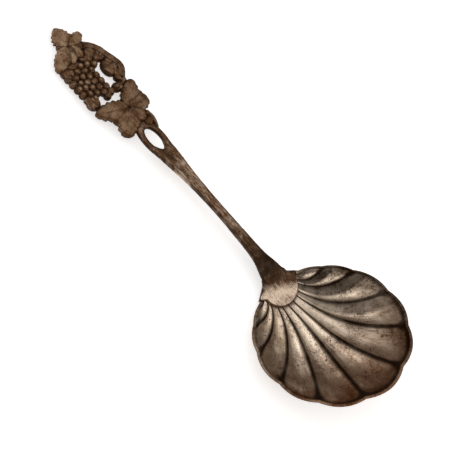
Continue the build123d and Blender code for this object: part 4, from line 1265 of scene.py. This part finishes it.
# %% Three finishes
worn_silver = tarnished_silver(
    "worn_tarnished_silver", bright="#f5e1cb", film="#a08166", black="#25160c", amber="#825029",
    blotch_mm=6.0, speck_mm=0.6, grain_mm=(0.3, 4.5), shine=0.2, scratch=0.8, scrawl=0.8,
)
scratched_silver = tarnished_silver(
    "scratched_tarnished_silver", bright="#dcc6b0", film="#6f4f37", black="#2a1f17", amber="#715833",
    blotch_mm=4.0, speck_mm=0.32, grain_mm=(0.35, 2.2), shine=0.36, scratch=1.2, scrawl=0.0,
)
brown_silver = tarnished_silver(
    "brown_tarnished_silver", bright="#d8bd9f", film="#7f5b3e", black="#4a3424", amber="#735a34",
    blotch_mm=3.0, speck_mm=0.6, grain_mm=(0.3, 4.5), shine=0.48, scratch=0.25, scrawl=0.0,
)
finishes = {"fluted_bowl": worn_silver, "forged_handle": scratched_silver}
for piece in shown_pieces():
    piece.data.materials.clear()
    piece.data.materials.append(finishes.get(piece.name, brown_silver))
    print(piece.name, piece.data.materials[0].name)

# %% [markdown]
# ## Floor and light
# The floor is plain white paper. For the camera and for reflections it glows up to white, so that the metal
# shows the background too, and it still keeps a faint shadow. The light itself comes from panels.

# %% Floor
FLOOR_SIZE, FLOOR_GLOW = 6.0, 0.62
ground = bpy.data.meshes.new("floor")
floor_corners = np.array(((-1, -1, 0), (1, -1, 0), (1, 1, 0), (-1, 1, 0))) * FLOOR_SIZE / 2
ground.from_pydata(floor_corners.tolist(), [], [(0, 1, 2, 3)])
floor = bpy.data.objects.new("floor", ground)
bpy.context.scene.collection.objects.link(floor)
floor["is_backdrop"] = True
paper, tree, shader = new_material("white_paper")
shader.inputs["Base Color"].default_value = linear("#f2f2f2")
shader.inputs["Roughness"].default_value = 0.9
shader.inputs["Emission Color"].default_value = linear("#ffffff")
rays = add_node(tree, "LightPath").node.outputs
seen = add_node(tree, "Math", MAXIMUM, i0=rays["Is Camera Ray"], i1=rays["Is Glossy Ray"])
glow = add_node(tree, "Math", MULTIPLY, i0=seen, i1=FLOOR_GLOW)
tree.links.new(glow, shader.inputs["Emission Strength"])
ground.materials.append(paper)
print("floor", FLOOR_SIZE, "m wide")

# %% [markdown]
# Metal shows what is round it. In the photograph a broad soft light hangs over the spoon, the room behind it
# is half bright, and the side of the camera is dark. That gives each flute one bright flank and one dark one.
# A long panel overhead, turned a little, a wider one behind, two weak ones at the ends and a dim warm world
# do that.

# %% Lights
PANELS = (  # name, place, aim and size in metres, watts, turn in degrees
    ("overhead_panel", (0.16, 0.03, 0.7), (0.16, 0.03, 0.0), (1.8, 0.7), 3.5, 20.0),
    ("back_panel", (0.0, 0.68, 0.8), (0.0, 0.0, 0.0), (2.4, 0.84), 2.3, 0.0),
    ("left_panel", (-1.15, 0.0, 0.7), (0.0, 0.0, 0.0), (1.4, 0.7), 1.25, 0.0),
    ("right_panel", (1.3, 0.2, 0.8), (0.0, 0.0, 0.0), (1.2, 0.7), 1.3, 0.0),
)
world = bpy.data.worlds.new("room")
world.use_nodes = True
bpy.context.scene.world = world
backdrop = world.node_tree.nodes["Background"]
backdrop.inputs["Color"].default_value = linear("#665f57")
backdrop.inputs["Strength"].default_value = 1.0


def soft_panel(name, place, aim, size, watts, spin):
    """Oblong area light at a place, turned to its aim and spun about that line, in metres and degrees."""
    lamp = bpy.data.lights.new(name, "AREA")
    lamp.shape = "RECTANGLE"
    lamp.size, lamp.size_y = size
    lamp.energy = watts
    panel = bpy.data.objects.new(name, lamp)
    back = np.array(place) - np.array(aim)
    back = back / np.linalg.norm(back)
    side = np.cross((0.0, 1.0, 0.0), back)
    side = side / np.linalg.norm(side)
    spin = np.radians(spin)
    side = side * np.cos(spin) + np.cross(back, side) * np.sin(spin)
    stand = np.eye(4)
    stand[:3, :3] = np.stack((side, np.cross(back, side), back), axis=1)
    stand[:3, 3] = place
    panel.matrix_world = Matrix(stand.tolist())
    bpy.context.scene.collection.objects.link(panel)
    print(name, watts, "W")


for panel_values in PANELS:
    soft_panel(*panel_values)

# %% [markdown]
# ## The end
# The box of the dressed spoon is set against the box of the solids, and their difference is printed. Both
# should agree to a small part of a millimetre.

# %% Sizes and finish
new_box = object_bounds()
differences = (np.array(new_box) - np.array(cad_box)) / MM
print("size difference, mm:", differences.round(3).tolist())
